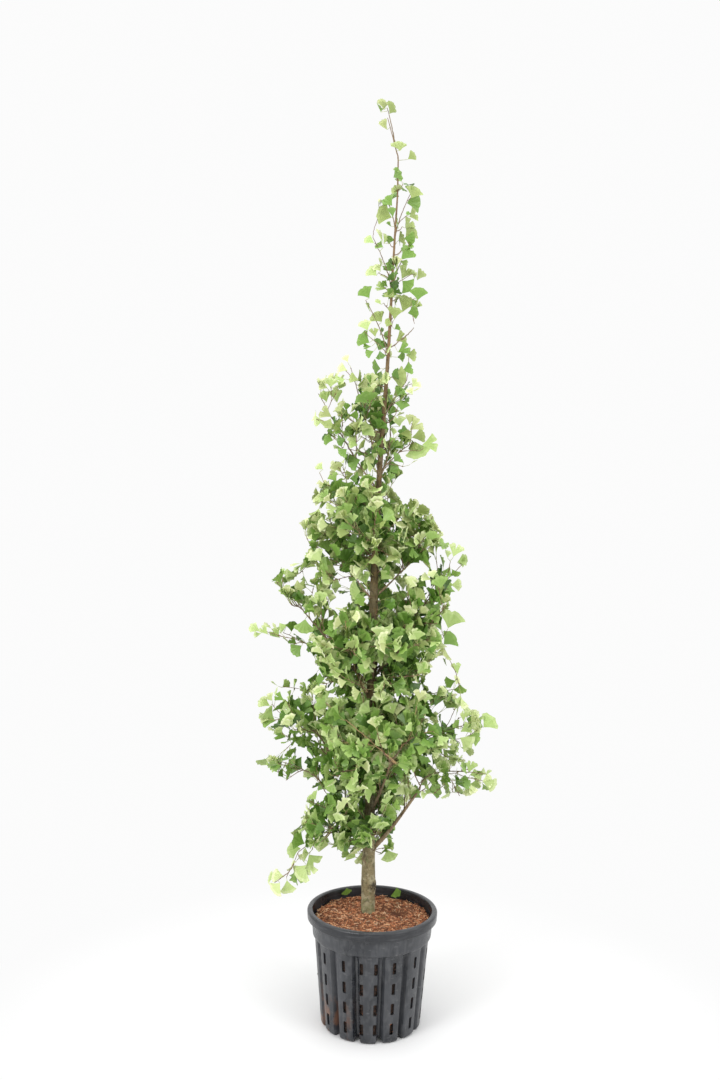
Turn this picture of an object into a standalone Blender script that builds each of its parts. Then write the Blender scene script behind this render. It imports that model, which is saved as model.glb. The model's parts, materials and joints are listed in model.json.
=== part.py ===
"""A young columnar ginkgo, about 2.8 m tall with its slotted nursery pot.

The tree is one leader that runs from a flat cut on the mulch to the tip of the crown. Tapering boughs
leave it all round and end where they enter the masses of leaves that they carry. Metres, +Z up, with the
origin at the centre of the pot's flat underside and the front of the tree towards -Y.
"""

import math
from collections import namedtuple

import bmesh
import bpy
from mathutils import Matrix, Vector, noise

# Clearance between pieces that touch, how far a cutter's corners move out to leave it, and the angle
# within which faces left by a cut count as one
GAP = 0.0003
CORNER_GAP = 0.00045
FLAT_WITHIN = 0.009

# Pot: a turned shell with a rolled rim, a plain collar and a lobed lower wall
POT_HEIGHT = 0.342
POT_WALL = 0.004
RIM_RADIUS = 0.198
RIM_DROP = 0.027
RIM_INNER_RADIUS = 0.1815
RIM_ROUND = 0.003
COLLAR_RADIUS = 0.180
COLLAR_FOOT_Z = 0.268
LOBE_TOP_RADIUS = 0.174
LOBE_FOOT_RADIUS = 0.152
LOBE_TOP_Z = 0.260
LOBE_FOOT_ROUND = 0.010
LOBES = 14
LOBE_STEPS = 4
VALLEY_DEPTH = 0.009
SLOT_WIDTH = 0.008
SLOT_DEPTH = 0.050
SLOT_HEIGHT = 0.032
SLOT_HEIGHTS = (0.043, 0.103, 0.163, 0.2255)
DOUBLE_SLOT_TURN = 7.25

# Root ball: compost and bark mulch, filled to a little under the rim
MULCH_Z = 0.308
ROOT_BALL_STEPS = 24
ROOT_BALL_SLACK = 0.0020

# Trunk: the places that its centre line passes, as height, x and y, and its thickness by height
TRUNK_LINE = (
    (0.308, -0.012, 0.030),
    (0.590, -0.014, 0.028),
    (1.310, -0.010, 0.020),
    (1.650, 0.000, 0.012),
    (2.010, 0.022, 0.004),
    (2.350, 0.035, 0.000),
    (2.610, 0.048, 0.000),
    (2.690, 0.034, 0.000),
    (2.755, 0.005, 0.000),
)
TRUNK_THICKNESS = (
    (0.308, 0.044),
    (0.500, 0.040),
    (1.310, 0.029),
    (1.650, 0.021),
    (2.200, 0.011),
    (2.610, 0.006),
    (2.755, 0.003),
)
TRUNK_STATIONS = 26
TRUNK_STATION_SPREAD = 1.25
BEND_EASE = 0.03
ROOT_FLARE = 0.007
ROOT_FLARE_HEIGHT = 0.022
GRAFT_Z = 0.395
GRAFT_SWELL = 0.003
GRAFT_LENGTH = 0.030

# Boughs and masses of leaves
BOUGH_STATIONS = 5
BOUGH_TAPER = 0.6
BOUGH_LIFT = 1.25
BOUGH_ENTRY = 0.03
MASS_SIDES = 7
MASS_RINGS = 5
MASS_UNEVEN = 0.34
MASS_END_UNEVEN = 0.11
MASS_UPRIGHT = 0.3
MASS_RAGGED = 1.7

# One row for each limb. It leaves the trunk at a height, or leaves the limb named in "on". "turn" is its
# direction in plan, 0 to the right, 90 to the back, 180 to the left and 270 to the front. "bough" is how
# far the bare limb goes out and up before it enters its leaves, and "leaf" how far out and up from the
# same foot the leaves reach. A limb with no thickness is hidden, with its leaves close to the trunk.
Limb = namedtuple("Limb", "name on height turn bough leaf thick breadth depth")
LIMBS = (
    Limb("right_low", "trunk", 0.505, -12, (0.160, 0.210), (0.385, 0.260), 0.020, 0.13, 0.13),
    Limb("left_droop", "trunk", 0.560, 184, (0.140, 0.002), (0.250, -0.035), 0.010, 0.08, 0.09),
    Limb("left_tip", "left_droop", 0.0, 186, (0.035, -0.075), (0.120, -0.150), 0.004, 0.10, 0.12),
    Limb("front_low", "trunk", 0.490, 290, (0.020, 0.020), (0.145, 0.200), 0.0, 0.17, 0.17),
    Limb("front_low_left", "trunk", 0.530, 212, (0.035, 0.020), (0.215, 0.160), 0.0, 0.15, 0.18),
    Limb("back_low", "trunk", 0.540, 82, (0.020, 0.030), (0.250, 0.190), 0.0, 0.24, 0.16),
    Limb("left_low", "trunk", 0.600, 172, (0.155, 0.110), (0.355, 0.185), 0.013, 0.13, 0.13),
    Limb("left_mid", "trunk", 0.660, 187, (0.150, 0.190), (0.355, 0.300), 0.013, 0.15, 0.19),
    Limb("right_mid", "trunk", 0.660, 8, (0.130, 0.150), (0.385, 0.245), 0.014, 0.16, 0.18),
    Limb("front_mid", "trunk", 0.680, 250, (0.030, 0.020), (0.170, 0.180), 0.0, 0.19, 0.18),
    Limb("front_fork", "trunk", 0.620, 292, (0.165, 0.200), None, 0.013, 0.0, 0.0),
    Limb("front_left_arm", "front_fork", 0.0, 172, (0.025, 0.020), (0.205, 0.165), 0.009, 0.12, 0.15),
    Limb("front_right_arm", "front_fork", 0.0, 15, (0.025, 0.030), (0.125, 0.130), 0.009, 0.13, 0.16),
    Limb("back_mid", "trunk", 0.690, 97, (0.060, 0.080), (0.290, 0.280), 0.013, 0.28, 0.20),
    Limb("right_1_0", "trunk", 0.860, 10, (0.020, 0.050), (0.300, 0.150), 0.0, 0.17, 0.15),
    Limb("left_1_1", "trunk", 0.920, 176, (0.100, 0.120), (0.380, 0.290), 0.012, 0.16, 0.14),
    Limb("right_1_2", "trunk", 1.040, -4, (0.070, 0.110), (0.285, 0.370), 0.010, 0.16, 0.17),
    Limb("front_right_1_1", "trunk", 0.990, 315, (0.000, 0.000), (0.245, 0.200), 0.0, 0.19, 0.20),
    Limb("right_1_1", "trunk", 1.020, 12, (0.000, 0.020), (0.280, 0.150), 0.0, 0.17, 0.16),
    Limb("front_1_0", "trunk", 0.930, 245, (0.020, 0.040), (0.205, 0.310), 0.0, 0.24, 0.24),
    Limb("back_1_1", "trunk", 0.980, 84, (0.020, 0.030), (0.255, 0.320), 0.0, 0.28, 0.22),
    Limb("left_1_3", "trunk", 1.020, 185, (0.150, 0.150), (0.330, 0.345), 0.012, 0.14, 0.14),
    Limb("left_1_4", "trunk", 1.280, 188, (0.050, 0.055), (0.210, 0.150), 0.010, 0.15, 0.12),
    Limb("right_1_5", "trunk", 1.290, -3, (0.080, 0.075), (0.200, 0.310), 0.010, 0.16, 0.17),
    Limb("left_1_5", "trunk", 1.430, 172, (0.000, 0.000), (0.240, 0.090), 0.0, 0.15, 0.14),
    Limb("left_1_6", "trunk", 1.520, 188, (-0.005, 0.010), (0.205, 0.130), 0.0, 0.15, 0.14),
    Limb("front_1_5", "trunk", 1.370, 262, (0.015, 0.010), (0.140, 0.250), 0.0, 0.21, 0.20),
    Limb("back_1_5", "trunk", 1.330, 95, (0.015, 0.020), (0.180, 0.290), 0.0, 0.24, 0.19),
    Limb("left_1_8", "trunk", 1.620, 183, (0.080, 0.105), (0.200, 0.310), 0.008, 0.13, 0.14),
    Limb("left_inner_1_8", "trunk", 1.650, 205, (0.010, 0.020), (0.110, 0.360), 0.0, 0.14, 0.14),
    Limb("right_1_8", "trunk", 1.680, 2, (0.055, 0.050), (0.195, 0.135), 0.008, 0.13, 0.15),
    Limb("right_1_9", "trunk", 1.820, -12, (0.015, 0.000), (0.110, 0.180), 0.0, 0.11, 0.12),
    Limb("back_1_8", "trunk", 1.650, 82, (0.010, 0.020), (0.120, 0.340), 0.0, 0.17, 0.15),
    Limb("left_2_1", "trunk", 1.960, 183, (0.008, 0.020), (0.085, 0.270), 0.0, 0.11, 0.11),
    Limb("right_2_2", "trunk", 2.050, 0, (0.040, 0.030), (0.145, 0.190), 0.005, 0.10, 0.12),
    Limb("left_2_3", "trunk", 2.200, 184, (0.006, 0.000), (0.070, 0.210), 0.0, 0.09, 0.08),
    Limb("right_2_3", "trunk", 2.200, -2, (0.006, 0.000), (0.080, 0.220), 0.0, 0.10, 0.10),
    Limb("left_2_5", "trunk", 2.415, 175, (-0.006, 0.000), (0.042, 0.125), 0.0, 0.08, 0.07),
    Limb("right_2_5", "trunk", 2.400, 5, (0.006, 0.000), (0.060, 0.160), 0.0, 0.09, 0.09),
    Limb("tip_tuft", "trunk", 2.690, 180, (-0.002, 0.000), (0.030, 0.125), 0.0, 0.06, 0.07),
)

# Base colour, roughness and metallic value of each finish
FINISHES = {
    "pot": ((0.045, 0.045, 0.048), 0.62, 0.0),
    "mulch": ((0.150, 0.060, 0.030), 0.95, 0.0),
    "bark": ((0.200, 0.160, 0.110), 0.85, 0.0),
    "leaves": ((0.110, 0.240, 0.050), 0.55, 0.0),
}


def clear_scene():
    for old in list(bpy.data.objects):
        bpy.data.objects.remove(old)


def new_collection(name, hidden=False):
    collection = bpy.data.collections.new(name)
    bpy.context.scene.collection.children.link(collection)
    collection.hide_render = hidden
    return collection


def finish_of(kind, name):
    """The material of one sub-part, in the colours of its kind."""
    colour, roughness, metallic = FINISHES[kind]
    material = bpy.data.materials.new(name)
    material.use_nodes = True
    shader = material.node_tree.nodes["Principled BSDF"]
    shader.inputs["Base Color"].default_value = (*colour, 1.0)
    shader.inputs["Roughness"].default_value = roughness
    shader.inputs["Metallic"].default_value = metallic
    material.diffuse_color = (*colour, 1.0)
    return material


def add_piece(name, mesh, kind=None):
    """A named object in the tree's collection, or a wire cutter where it has no finish."""
    piece = bpy.data.objects.new(name, mesh)
    if kind is None:
        cutters.objects.link(piece)
        piece.hide_render = True
        piece.display_type = "WIRE"
    else:
        tree.objects.link(piece)
        mesh.materials.clear()
        mesh.materials.append(finish_of(kind, name))
    return piece


def mesh_from(bm, name):
    mesh = bpy.data.meshes.new(name)
    bm.to_mesh(mesh)
    bm.free()
    return mesh


def evaluated_mesh(piece):
    bpy.context.view_layer.update()
    return bpy.data.meshes.new_from_object(piece.evaluated_get(bpy.context.evaluated_depsgraph_get()))


def turned_mesh(name, profile, steps):
    """The profile, as radius and height, turned about the Z axis. It runs down its outer side."""
    bm = bmesh.new()
    points = [bm.verts.new((radius, 0.0, height)) for radius, height in profile]
    for above, below in zip(points, points[1:]):
        bm.edges.new((above, below))
    turning = add_piece(name + "_profile", mesh_from(bm, name + "_profile"))
    screw = turning.modifiers.new("Turn", "SCREW")
    screw.steps = steps
    screw.render_steps = steps
    screw.use_merge_vertices = True
    screw.merge_threshold = 0.00001
    mesh = evaluated_mesh(turning)
    bpy.data.objects.remove(turning)
    return mesh


def tube_mesh(name, points, radii, roundness):
    """A tapering tube with filled ends along the points, as a closed mesh."""
    curve = bpy.data.curves.new(name, "CURVE")
    curve.dimensions = "3D"
    curve.bevel_depth = 1.0
    curve.bevel_resolution = roundness
    curve.use_fill_caps = True
    spline = curve.splines.new("POLY")
    spline.points.add(len(points) - 1)
    for place, point, radius in zip(spline.points, points, radii):
        place.co = (*point, 1.0)
        place.radius = radius
    drawn = add_piece(name + "_line", curve)
    bm = bmesh.new()
    bm.from_mesh(evaluated_mesh(drawn))
    bmesh.ops.remove_doubles(bm, verts=bm.verts, dist=0.00001)
    bmesh.ops.recalc_face_normals(bm, faces=bm.faces)
    bmesh.ops.triangulate(bm, faces=bm.faces)
    bpy.data.objects.remove(drawn)
    return mesh_from(bm, name)


def grown_copy(piece):
    """A cutter the shape of the piece, larger all round by the clearance."""
    bm = bmesh.new()
    bm.from_mesh(piece.data)
    bm.normal_update()
    moves = [vert.normal * CORNER_GAP for vert in bm.verts]
    for vert, move in zip(bm.verts, moves):
        vert.co += move
    return add_piece(piece.name + "_clearance", mesh_from(bm, piece.name + "_clearance"))


def corners(piece):
    places = [vert.co for vert in piece.data.vertices]
    low = Vector(min(place[axis] for place in places) for axis in range(3))
    high = Vector(max(place[axis] for place in places) for axis in range(3))
    return low, high


def boxes_meet(one, other):
    low, high = corners(one)
    other_low, other_high = corners(other)
    return all(low[axis] < other_high[axis] and other_low[axis] < high[axis] for axis in range(3))


def islands(bm):
    """The separate bodies of a mesh, as lists of vertices."""
    unseen = set(bm.verts)
    found = []
    while unseen:
        body = [unseen.pop()]
        for vert in body:
            for edge in vert.link_edges:
                other = edge.other_vert(vert)
                if other in unseen:
                    unseen.remove(other)
                    body.append(other)
        found.append(body)
    return found


def keep_one_body(piece):
    """Merges the flat faces that a cut splits, and drops the crumbs beside the largest body."""
    bm = bmesh.new()
    bm.from_mesh(piece.data)
    bmesh.ops.dissolve_degenerate(bm, edges=bm.edges, dist=0.00002)
    bmesh.ops.dissolve_limit(bm, angle_limit=FLAT_WITHIN, verts=bm.verts, edges=bm.edges)
    bodies = sorted(islands(bm), key=len)
    crumbs = [vert for body in bodies[:-1] for vert in body]
    bmesh.ops.delete(bm, geom=crumbs, context="VERTS")
    bmesh.ops.triangulate(bm, faces=bm.faces)
    bm.to_mesh(piece.data)
    bm.free()


def cut(piece, cutter):
    """Takes the cutter's shape out of the piece, where the two meet."""
    if not boxes_meet(piece, cutter):
        return
    boolean = piece.modifiers.new("Cut", "BOOLEAN")
    boolean.operation = "DIFFERENCE"
    boolean.solver = "EXACT"
    boolean.object = cutter
    mesh = evaluated_mesh(piece)
    piece.modifiers.clear()
    piece.data = mesh
    keep_one_body(piece)


def between(table, height, column):
    """The value in a column of a table by height, read off straight between its rows."""
    for lower, upper in zip(table, table[1:]):
        if height <= upper[0]:
            share = (height - lower[0]) / (upper[0] - lower[0])
            return lower[column] + (upper[column] - lower[column]) * max(0.0, share)
    return table[-1][column]


def trunk_at(height):
    """The trunk's centre at a height, with its bends eased."""
    heights = (height - BEND_EASE, height, height + BEND_EASE)
    x, y = (sum(between(TRUNK_LINE, h, column) for h in heights) / 3 for column in (1, 2))
    return Vector((x, y, height))


def trunk_radius(height):
    flare = ROOT_FLARE * math.exp((MULCH_Z - height) / ROOT_FLARE_HEIGHT)
    graft = GRAFT_SWELL * math.exp(-(((height - GRAFT_Z) / GRAFT_LENGTH) ** 2))
    return between(TRUNK_THICKNESS, height, 1) / 2 + flare + graft


def make_pot():
    """A moulded shell: rolled rim, plain collar, and lobes between narrow valleys, pierced by slots."""
    wall = POT_WALL
    rim_foot = POT_HEIGHT - RIM_DROP
    profile = (
        (0.0, wall),
        (LOBE_FOOT_RADIUS - LOBE_FOOT_ROUND, wall),
        (LOBE_TOP_RADIUS - wall, LOBE_TOP_Z),
        (COLLAR_RADIUS - wall, COLLAR_FOOT_Z),
        (RIM_INNER_RADIUS, POT_HEIGHT),
        (RIM_RADIUS - RIM_ROUND, POT_HEIGHT),
        (RIM_RADIUS, POT_HEIGHT - RIM_ROUND),
        (RIM_RADIUS, rim_foot),
        (COLLAR_RADIUS + wall, rim_foot),
        (COLLAR_RADIUS, COLLAR_FOOT_Z),
        (LOBE_TOP_RADIUS, LOBE_TOP_Z),
        (LOBE_FOOT_RADIUS, LOBE_FOOT_ROUND),
        (LOBE_FOOT_RADIUS - LOBE_FOOT_ROUND, 0.0),
        (0.0, 0.0),
    )
    mesh = turned_mesh("pot", profile, LOBES * LOBE_STEPS)
    pitch = 2 * math.pi / LOBES
    for vert in mesh.vertices:
        radius = math.hypot(vert.co.x, vert.co.y)
        if radius < LOBE_FOOT_RADIUS / 2 or vert.co.z > LOBE_TOP_Z + GAP:
            continue
        turn = math.atan2(vert.co.x, -vert.co.y)
        from_crest = abs(turn / pitch - round(turn / pitch)) * 2
        shrink = 1 - VALLEY_DEPTH * from_crest**4 / radius
        vert.co.x *= shrink
        vert.co.y *= shrink
    pot = add_piece("pot", mesh, "pot")
    cut(pot, slot_cutter())
    return pot


def slot_cutter():
    """The blocks that pierce the slots: one column on each lobe, and two on the front and back ones."""
    bm = bmesh.new()
    pitch = 360 / LOBES
    for lobe in range(LOBES):
        turns = (-DOUBLE_SLOT_TURN, DOUBLE_SLOT_TURN) if lobe in (0, LOBES // 2) else (0.0,)
        for turn in turns:
            around = Matrix.Rotation(math.radians(lobe * pitch + turn), 4, "Z")
            for height in SLOT_HEIGHTS:
                place = Matrix.Translation((0.0, -LOBE_FOOT_RADIUS - POT_WALL, height))
                size = Matrix.Diagonal((SLOT_WIDTH, SLOT_DEPTH, SLOT_HEIGHT, 1.0))
                bmesh.ops.create_cube(bm, size=1.0, matrix=around @ place @ size)
    return add_piece("slots", mesh_from(bm, "slots"))


def make_root_ball():
    """The filled pot's contents in one solid, with a flat top of mulch round the trunk."""
    floor = POT_WALL + GAP
    top_radius = COLLAR_RADIUS - POT_WALL - ROOT_BALL_SLACK
    profile = (
        (0.0, MULCH_Z),
        (top_radius, MULCH_Z),
        (top_radius, COLLAR_FOOT_Z + ROOT_BALL_SLACK),
        (LOBE_TOP_RADIUS - POT_WALL - VALLEY_DEPTH - ROOT_BALL_SLACK, LOBE_TOP_Z),
        (LOBE_FOOT_RADIUS - LOBE_FOOT_ROUND - VALLEY_DEPTH - ROOT_BALL_SLACK, floor),
        (0.0, floor),
    )
    return add_piece("root_ball", turned_mesh("root_ball", profile, ROOT_BALL_STEPS), "mulch")


def make_trunk():
    """One leader from the flat cut on the mulch to its thin tip, flared at the foot."""
    foot = MULCH_Z + GAP
    top = TRUNK_LINE[-1][0]
    even = [station / (TRUNK_STATIONS - 1) for station in range(TRUNK_STATIONS)]
    shares = [share**TRUNK_STATION_SPREAD for share in even]
    heights = [foot + (top - foot) * share for share in shares]
    points = [trunk_at(height) for height in heights]
    points[0].xy = points[1].xy
    radii = [trunk_radius(height) for height in heights]
    return add_piece("trunk", tube_mesh("trunk", points, radii, 2), "bark")


def outward(limb):
    turn = math.radians(limb.turn)
    return Vector((math.cos(turn), math.sin(turn), 0.0))


def foot_of(limb):
    """Where a limb starts: on the trunk's centre line, at the fork, or in the leaves that it leaves."""
    if limb.on == "trunk":
        return trunk_at(limb.height)
    carrier = limb_named[limb.on]
    if carrier.leaf is None:
        return bough_end(carrier)
    return (bough_end(carrier) + leaf_end(carrier)) / 2


def reach_of(limb, out_and_up):
    out, up = out_and_up
    return foot_of(limb) + outward(limb) * out + Vector((0.0, 0.0, up))


def bough_end(limb):
    return reach_of(limb, limb.bough)


def leaf_end(limb):
    return reach_of(limb, limb.leaf)


def make_bough(limb):
    """A tapering limb that leaves low and curves up, and runs on a little into its leaves to be cut there."""
    foot = foot_of(limb)
    end = bough_end(limb)
    out = end - foot
    out.z = 0.0
    rise = end.z - foot.z
    stretch = 1.0
    if limb.leaf is not None:
        stretch += BOUGH_ENTRY / (end - foot).length
    points = []
    radii = []
    for station in range(BOUGH_STATIONS):
        share = stretch * station / (BOUGH_STATIONS - 1)
        points.append(foot + out * share + Vector((0.0, 0.0, rise * share**BOUGH_LIFT)))
        radii.append(limb.thick / 2 * (1 - (1 - BOUGH_TAPER) * share))
    name = "bough_" + limb.name
    return add_piece(name, tube_mesh(name, points, radii, 1), "bark")


def make_leaves(limb, number):
    """One uneven mass of leaves, longer along its limb than across it."""
    start = bough_end(limb)
    end = leaf_end(limb)
    along = (end - start).normalized()
    across = along.cross(Vector((0.0, 0.0, 1.0)))
    across = across.normalized() if across.length > MASS_UPRIGHT else outward(limb).cross(along).normalized()
    up = along.cross(across)
    middle = (start + end) / 2
    half_length = (end - start).length / 2
    bm = bmesh.new()
    bmesh.ops.create_uvsphere(bm, u_segments=MASS_SIDES, v_segments=MASS_RINGS, radius=1.0)
    for vert in bm.verts:
        unit = vert.co.copy()
        bump = noise.noise(unit * MASS_RAGGED + Vector((number * 3.1, number * 1.7, 0.0)))
        swell = 1 + MASS_UNEVEN * bump
        vert.co = (
            middle
            + along * (unit.z * half_length * (1 + MASS_END_UNEVEN * bump))
            + across * (unit.x * limb.breadth / 2 * swell)
            + up * (unit.y * limb.depth / 2 * swell)
        )
    bmesh.ops.triangulate(bm, faces=bm.faces)
    name = "leaves_" + limb.name
    return add_piece(name, mesh_from(bm, name), "leaves")


def make_crown(trunk):
    """All the boughs and masses, each cut clear of the trunk and of the pieces made before it."""
    boughs = {limb.name: make_bough(limb) for limb in LIMBS if limb.thick}
    masses = {limb.name: make_leaves(limb, n) for n, limb in enumerate(LIMBS) if limb.leaf}
    trunk_clear = grown_copy(trunk)
    bough_clear = {name: grown_copy(bough) for name, bough in boughs.items()}
    mass_clear = {name: grown_copy(mass) for name, mass in masses.items()}
    made = []
    for name, mass in masses.items():
        cut(mass, trunk_clear)
        for other in boughs:
            if name not in (other, limb_named[other].on):
                cut(mass, bough_clear[other])
        for other in made:
            cut(mass, mass_clear[other])
        made.append(name)
    made = []
    for name, bough in boughs.items():
        cut(bough, trunk_clear)
        for other in (name, limb_named[name].on):
            if other in mass_clear:
                cut(bough, mass_clear[other])
        for other in made:
            cut(bough, bough_clear[other])
        made.append(name)


def shade(piece):
    piece.data.shade_smooth()
    piece.data.set_sharp_from_angle(angle=math.radians(40))


clear_scene()
tree = new_collection("potted_ginkgo")
cutters = new_collection("cutters", hidden=True)
limb_named = {limb.name: limb for limb in LIMBS}
make_pot()
make_root_ball()
make_crown(make_trunk())
for part in tree.objects:
    shade(part)
for spent in list(cutters.objects):
    bpy.data.objects.remove(spent)
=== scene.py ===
"""The looks of a young columnar ginkgo in its slotted nursery pot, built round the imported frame."""

import json
import math
import random

import bmesh
import bpy
import numpy as np
from mathutils import Matrix, Vector, noise
from mathutils.bvhtree import BVHTree

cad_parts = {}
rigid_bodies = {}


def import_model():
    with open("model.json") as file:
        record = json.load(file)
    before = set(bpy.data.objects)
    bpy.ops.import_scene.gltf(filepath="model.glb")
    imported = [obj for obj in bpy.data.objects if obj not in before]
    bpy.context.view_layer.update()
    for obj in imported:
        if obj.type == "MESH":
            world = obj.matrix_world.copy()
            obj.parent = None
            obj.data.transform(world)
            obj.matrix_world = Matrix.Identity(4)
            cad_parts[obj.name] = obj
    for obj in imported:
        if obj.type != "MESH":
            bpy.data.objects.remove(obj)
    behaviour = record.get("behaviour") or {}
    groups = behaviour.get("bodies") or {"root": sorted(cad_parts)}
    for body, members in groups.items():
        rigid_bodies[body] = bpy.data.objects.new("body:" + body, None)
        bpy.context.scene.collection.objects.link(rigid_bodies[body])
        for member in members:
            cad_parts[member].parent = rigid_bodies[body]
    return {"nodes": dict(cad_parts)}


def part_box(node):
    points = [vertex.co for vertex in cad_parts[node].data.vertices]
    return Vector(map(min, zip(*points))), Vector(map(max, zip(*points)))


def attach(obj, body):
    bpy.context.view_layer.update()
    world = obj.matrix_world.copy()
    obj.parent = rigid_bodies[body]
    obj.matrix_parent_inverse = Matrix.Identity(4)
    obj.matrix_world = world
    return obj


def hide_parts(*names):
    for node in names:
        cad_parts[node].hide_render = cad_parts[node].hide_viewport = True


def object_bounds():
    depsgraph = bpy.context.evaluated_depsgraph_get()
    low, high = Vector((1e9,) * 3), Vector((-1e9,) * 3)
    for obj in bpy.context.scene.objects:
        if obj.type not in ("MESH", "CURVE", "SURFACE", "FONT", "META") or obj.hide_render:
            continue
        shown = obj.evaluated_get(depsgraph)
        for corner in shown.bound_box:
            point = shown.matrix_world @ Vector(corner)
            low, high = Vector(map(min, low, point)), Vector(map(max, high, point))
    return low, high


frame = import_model()
cad_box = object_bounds()
bpy.ops.object.select_all(action="DESELECT")


# Camera, floor and light. A level camera of short focal length stands about 3 m in front of the trunk, turned
# a degree about its own axis. The floor is pale and runs out into an even pale surround; from a short way out
# from the pot it glows with the surround's light, a painted light that fills in the pot's shadow on it. Two
# large soft lamps stand in front, to the left and the right, with a third overhead.
CAMERA_PLACE = (-0.055, -2.95, 1.463)
CAMERA_LENS = 32.2
CAMERA_ROLL = math.radians(0.9)
SURROUND = (1.0, 1.0, 1.0)
SURROUND_LIGHT = 0.97
FLOOR_RADIUS = 9.0
FLOOR_COLOUR = (0.86, 0.86, 0.86)
FLOOR_ROUGHNESS = 0.6
# From the first distance out the floor fades into a glow of the surround's light, a painted light that fills
# in the pot's shadow; from the second it is all glow.
FLOOR_FADES = (0.22, 1.30)
LAMPS = (
    ("lamp_left", (-2.6, -2.6, 2.6), (0.0, 0.0, 1.2), 1.6, 78.0),
    ("lamp_right", (2.8, -2.2, 2.2), (0.0, 0.0, 1.2), 1.6, 42.0),
    ("lamp_top", (0.2, -0.4, 4.6), (0.0, 0.0, 1.0), 2.0, 40.0),
)
ORIGIN = (0.0, 0.0, 0.0)


def new_finish(name, colour, roughness):
    """A material with a Principled shader of one colour and roughness, to be patterned further."""
    finish = bpy.data.materials.new(name)
    finish.use_nodes = True
    shader = finish.node_tree.nodes["Principled BSDF"]
    shader.inputs["Base Color"].default_value = (*colour, 1.0)
    shader.inputs["Roughness"].default_value = roughness
    finish.diffuse_color = (*colour, 1.0)
    return finish


def eased(tree, value, start, end):
    """A mask that goes smoothly from 0 to 1 while a value goes from start to end."""
    between = tree.nodes.new("ShaderNodeMapRange")
    between.interpolation_type = "SMOOTHSTEP"
    between.inputs["From Min"].default_value = start
    between.inputs["From Max"].default_value = end
    tree.links.new(value, between.inputs["Value"])
    return between.outputs["Result"]


camera_data = bpy.data.cameras.new("camera")
camera_data.lens = CAMERA_LENS
camera_data.sensor_width = 36.0
camera = bpy.data.objects.new("camera", camera_data)
camera.location = CAMERA_PLACE
level = Matrix.Rotation(math.radians(90), 3, "X")
camera.rotation_euler = (level @ Matrix.Rotation(CAMERA_ROLL, 3, "Z")).to_euler()
bpy.context.scene.collection.objects.link(camera)
bpy.context.scene.camera = camera
bpy.context.scene.view_settings.view_transform = "Standard"

surround = bpy.data.worlds.new("surround")
surround.use_nodes = True
surround.node_tree.nodes["Background"].inputs["Color"].default_value = (*SURROUND, 1.0)
surround.node_tree.nodes["Background"].inputs["Strength"].default_value = SURROUND_LIGHT
bpy.context.scene.world = surround

for name, place, aim, size, power in LAMPS:
    lamp_data = bpy.data.lights.new(name, "AREA")
    lamp_data.size = size
    lamp_data.energy = power
    lamp = bpy.data.objects.new(name, lamp_data)
    lamp.location = place
    lamp.rotation_euler = (Vector(aim) - Vector(place)).to_track_quat("-Z", "Y").to_euler()
    bpy.context.scene.collection.objects.link(lamp)

bpy.ops.mesh.primitive_circle_add(vertices=96, radius=FLOOR_RADIUS, fill_type="NGON", location=ORIGIN)
floor = bpy.context.active_object
floor.name = "floor"
floor_finish = new_finish("floor_finish", FLOOR_COLOUR, FLOOR_ROUGHNESS)
nodes = floor_finish.node_tree.nodes
links = floor_finish.node_tree.links
# The glow is a painted light: it washes the pot's shadow off the floor except near its foot.
glow = nodes.new("ShaderNodeEmission")
glow.inputs["Color"].default_value = (*SURROUND, 1.0)
glow.inputs["Strength"].default_value = SURROUND_LIGHT
where = nodes.new("ShaderNodeTexCoord")
away = nodes.new("ShaderNodeVectorMath")
away.operation = "LENGTH"
both = nodes.new("ShaderNodeMixShader")
links.new(where.outputs["Object"], away.inputs[0])
links.new(eased(floor_finish.node_tree, away.outputs["Value"], *FLOOR_FADES), both.inputs[0])
links.new(nodes["Principled BSDF"].outputs[0], both.inputs[1])
links.new(glow.outputs[0], both.inputs[2])
links.new(both.outputs[0], nodes["Material Output"].inputs["Surface"])
floor.data.materials.append(floor_finish)


# Pot. A round nursery container of black polypropylene, injection moulded in one piece: a rolled rim, a plain
# collar, and fourteen upright lobes with narrow valleys between them. Upright slots are moulded through the
# lobes to let air to the roots. It is scuffed and dusty, with earth washed out of the slots low on one side.
POT_HEIGHT = 0.342
POT_WALL = 0.004
RIM_RADIUS = 0.198
RIM_DROP = 0.027
RIM_ROUND = 0.007
RIM_INNER_RADIUS = 0.1815
COLLAR_RADIUS = 0.180
COLLAR_FOOT_Z = 0.268
LOBE_TOP_RADIUS = 0.174
LOBE_FOOT_RADIUS = 0.152
LOBE_TOP_Z = 0.260
LOBE_FOOT_ROUND = 0.010
LOBES = 14
LOBE_TURN = math.radians(-3.6)
SIDES_PER_LOBE = 20
VALLEY_DEPTHS = (0.0115, 0.0165)
VALLEY_FROM = 0.66
VALLEY_TO = 0.90
VALLEY_LIFT = 0.014
LOBE_ROUND = 0.0035
VALLEY_LIFT_TOP = 0.07
VALLEY_FADE = 0.012
BASE_RADIUS = 0.112
BASE_RISE = 0.007
BASE_CENTRE_RADIUS = 0.060
SLOT_SIZE = (0.0108, 0.060, 0.034)
SLOT_HEIGHTS = (0.043, 0.103, 0.163, 0.2255)
SLOT_CORNER = 0.0022
DOUBLE_SLOT_TURN = 7.25
SMOOTH_UNDER = math.radians(32)


def arc(centre_radius, centre_height, round_radius, start, end, steps):
    """Points on a quarter or half turn of a profile, from one angle to another in degrees."""
    turns = [math.radians(start + (end - start) * step / steps) for step in range(steps + 1)]
    return [
        (centre_radius + round_radius * math.cos(turn), centre_height + round_radius * math.sin(turn))
        for turn in turns
    ]


def run(start, end, steps):
    """Points along a straight stretch of a profile, without its first one."""
    shares = [step / steps for step in range(1, steps + 1)]
    return [(start[0] + (end[0] - start[0]) * s, start[1] + (end[1] - start[1]) * s) for s in shares]


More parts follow.
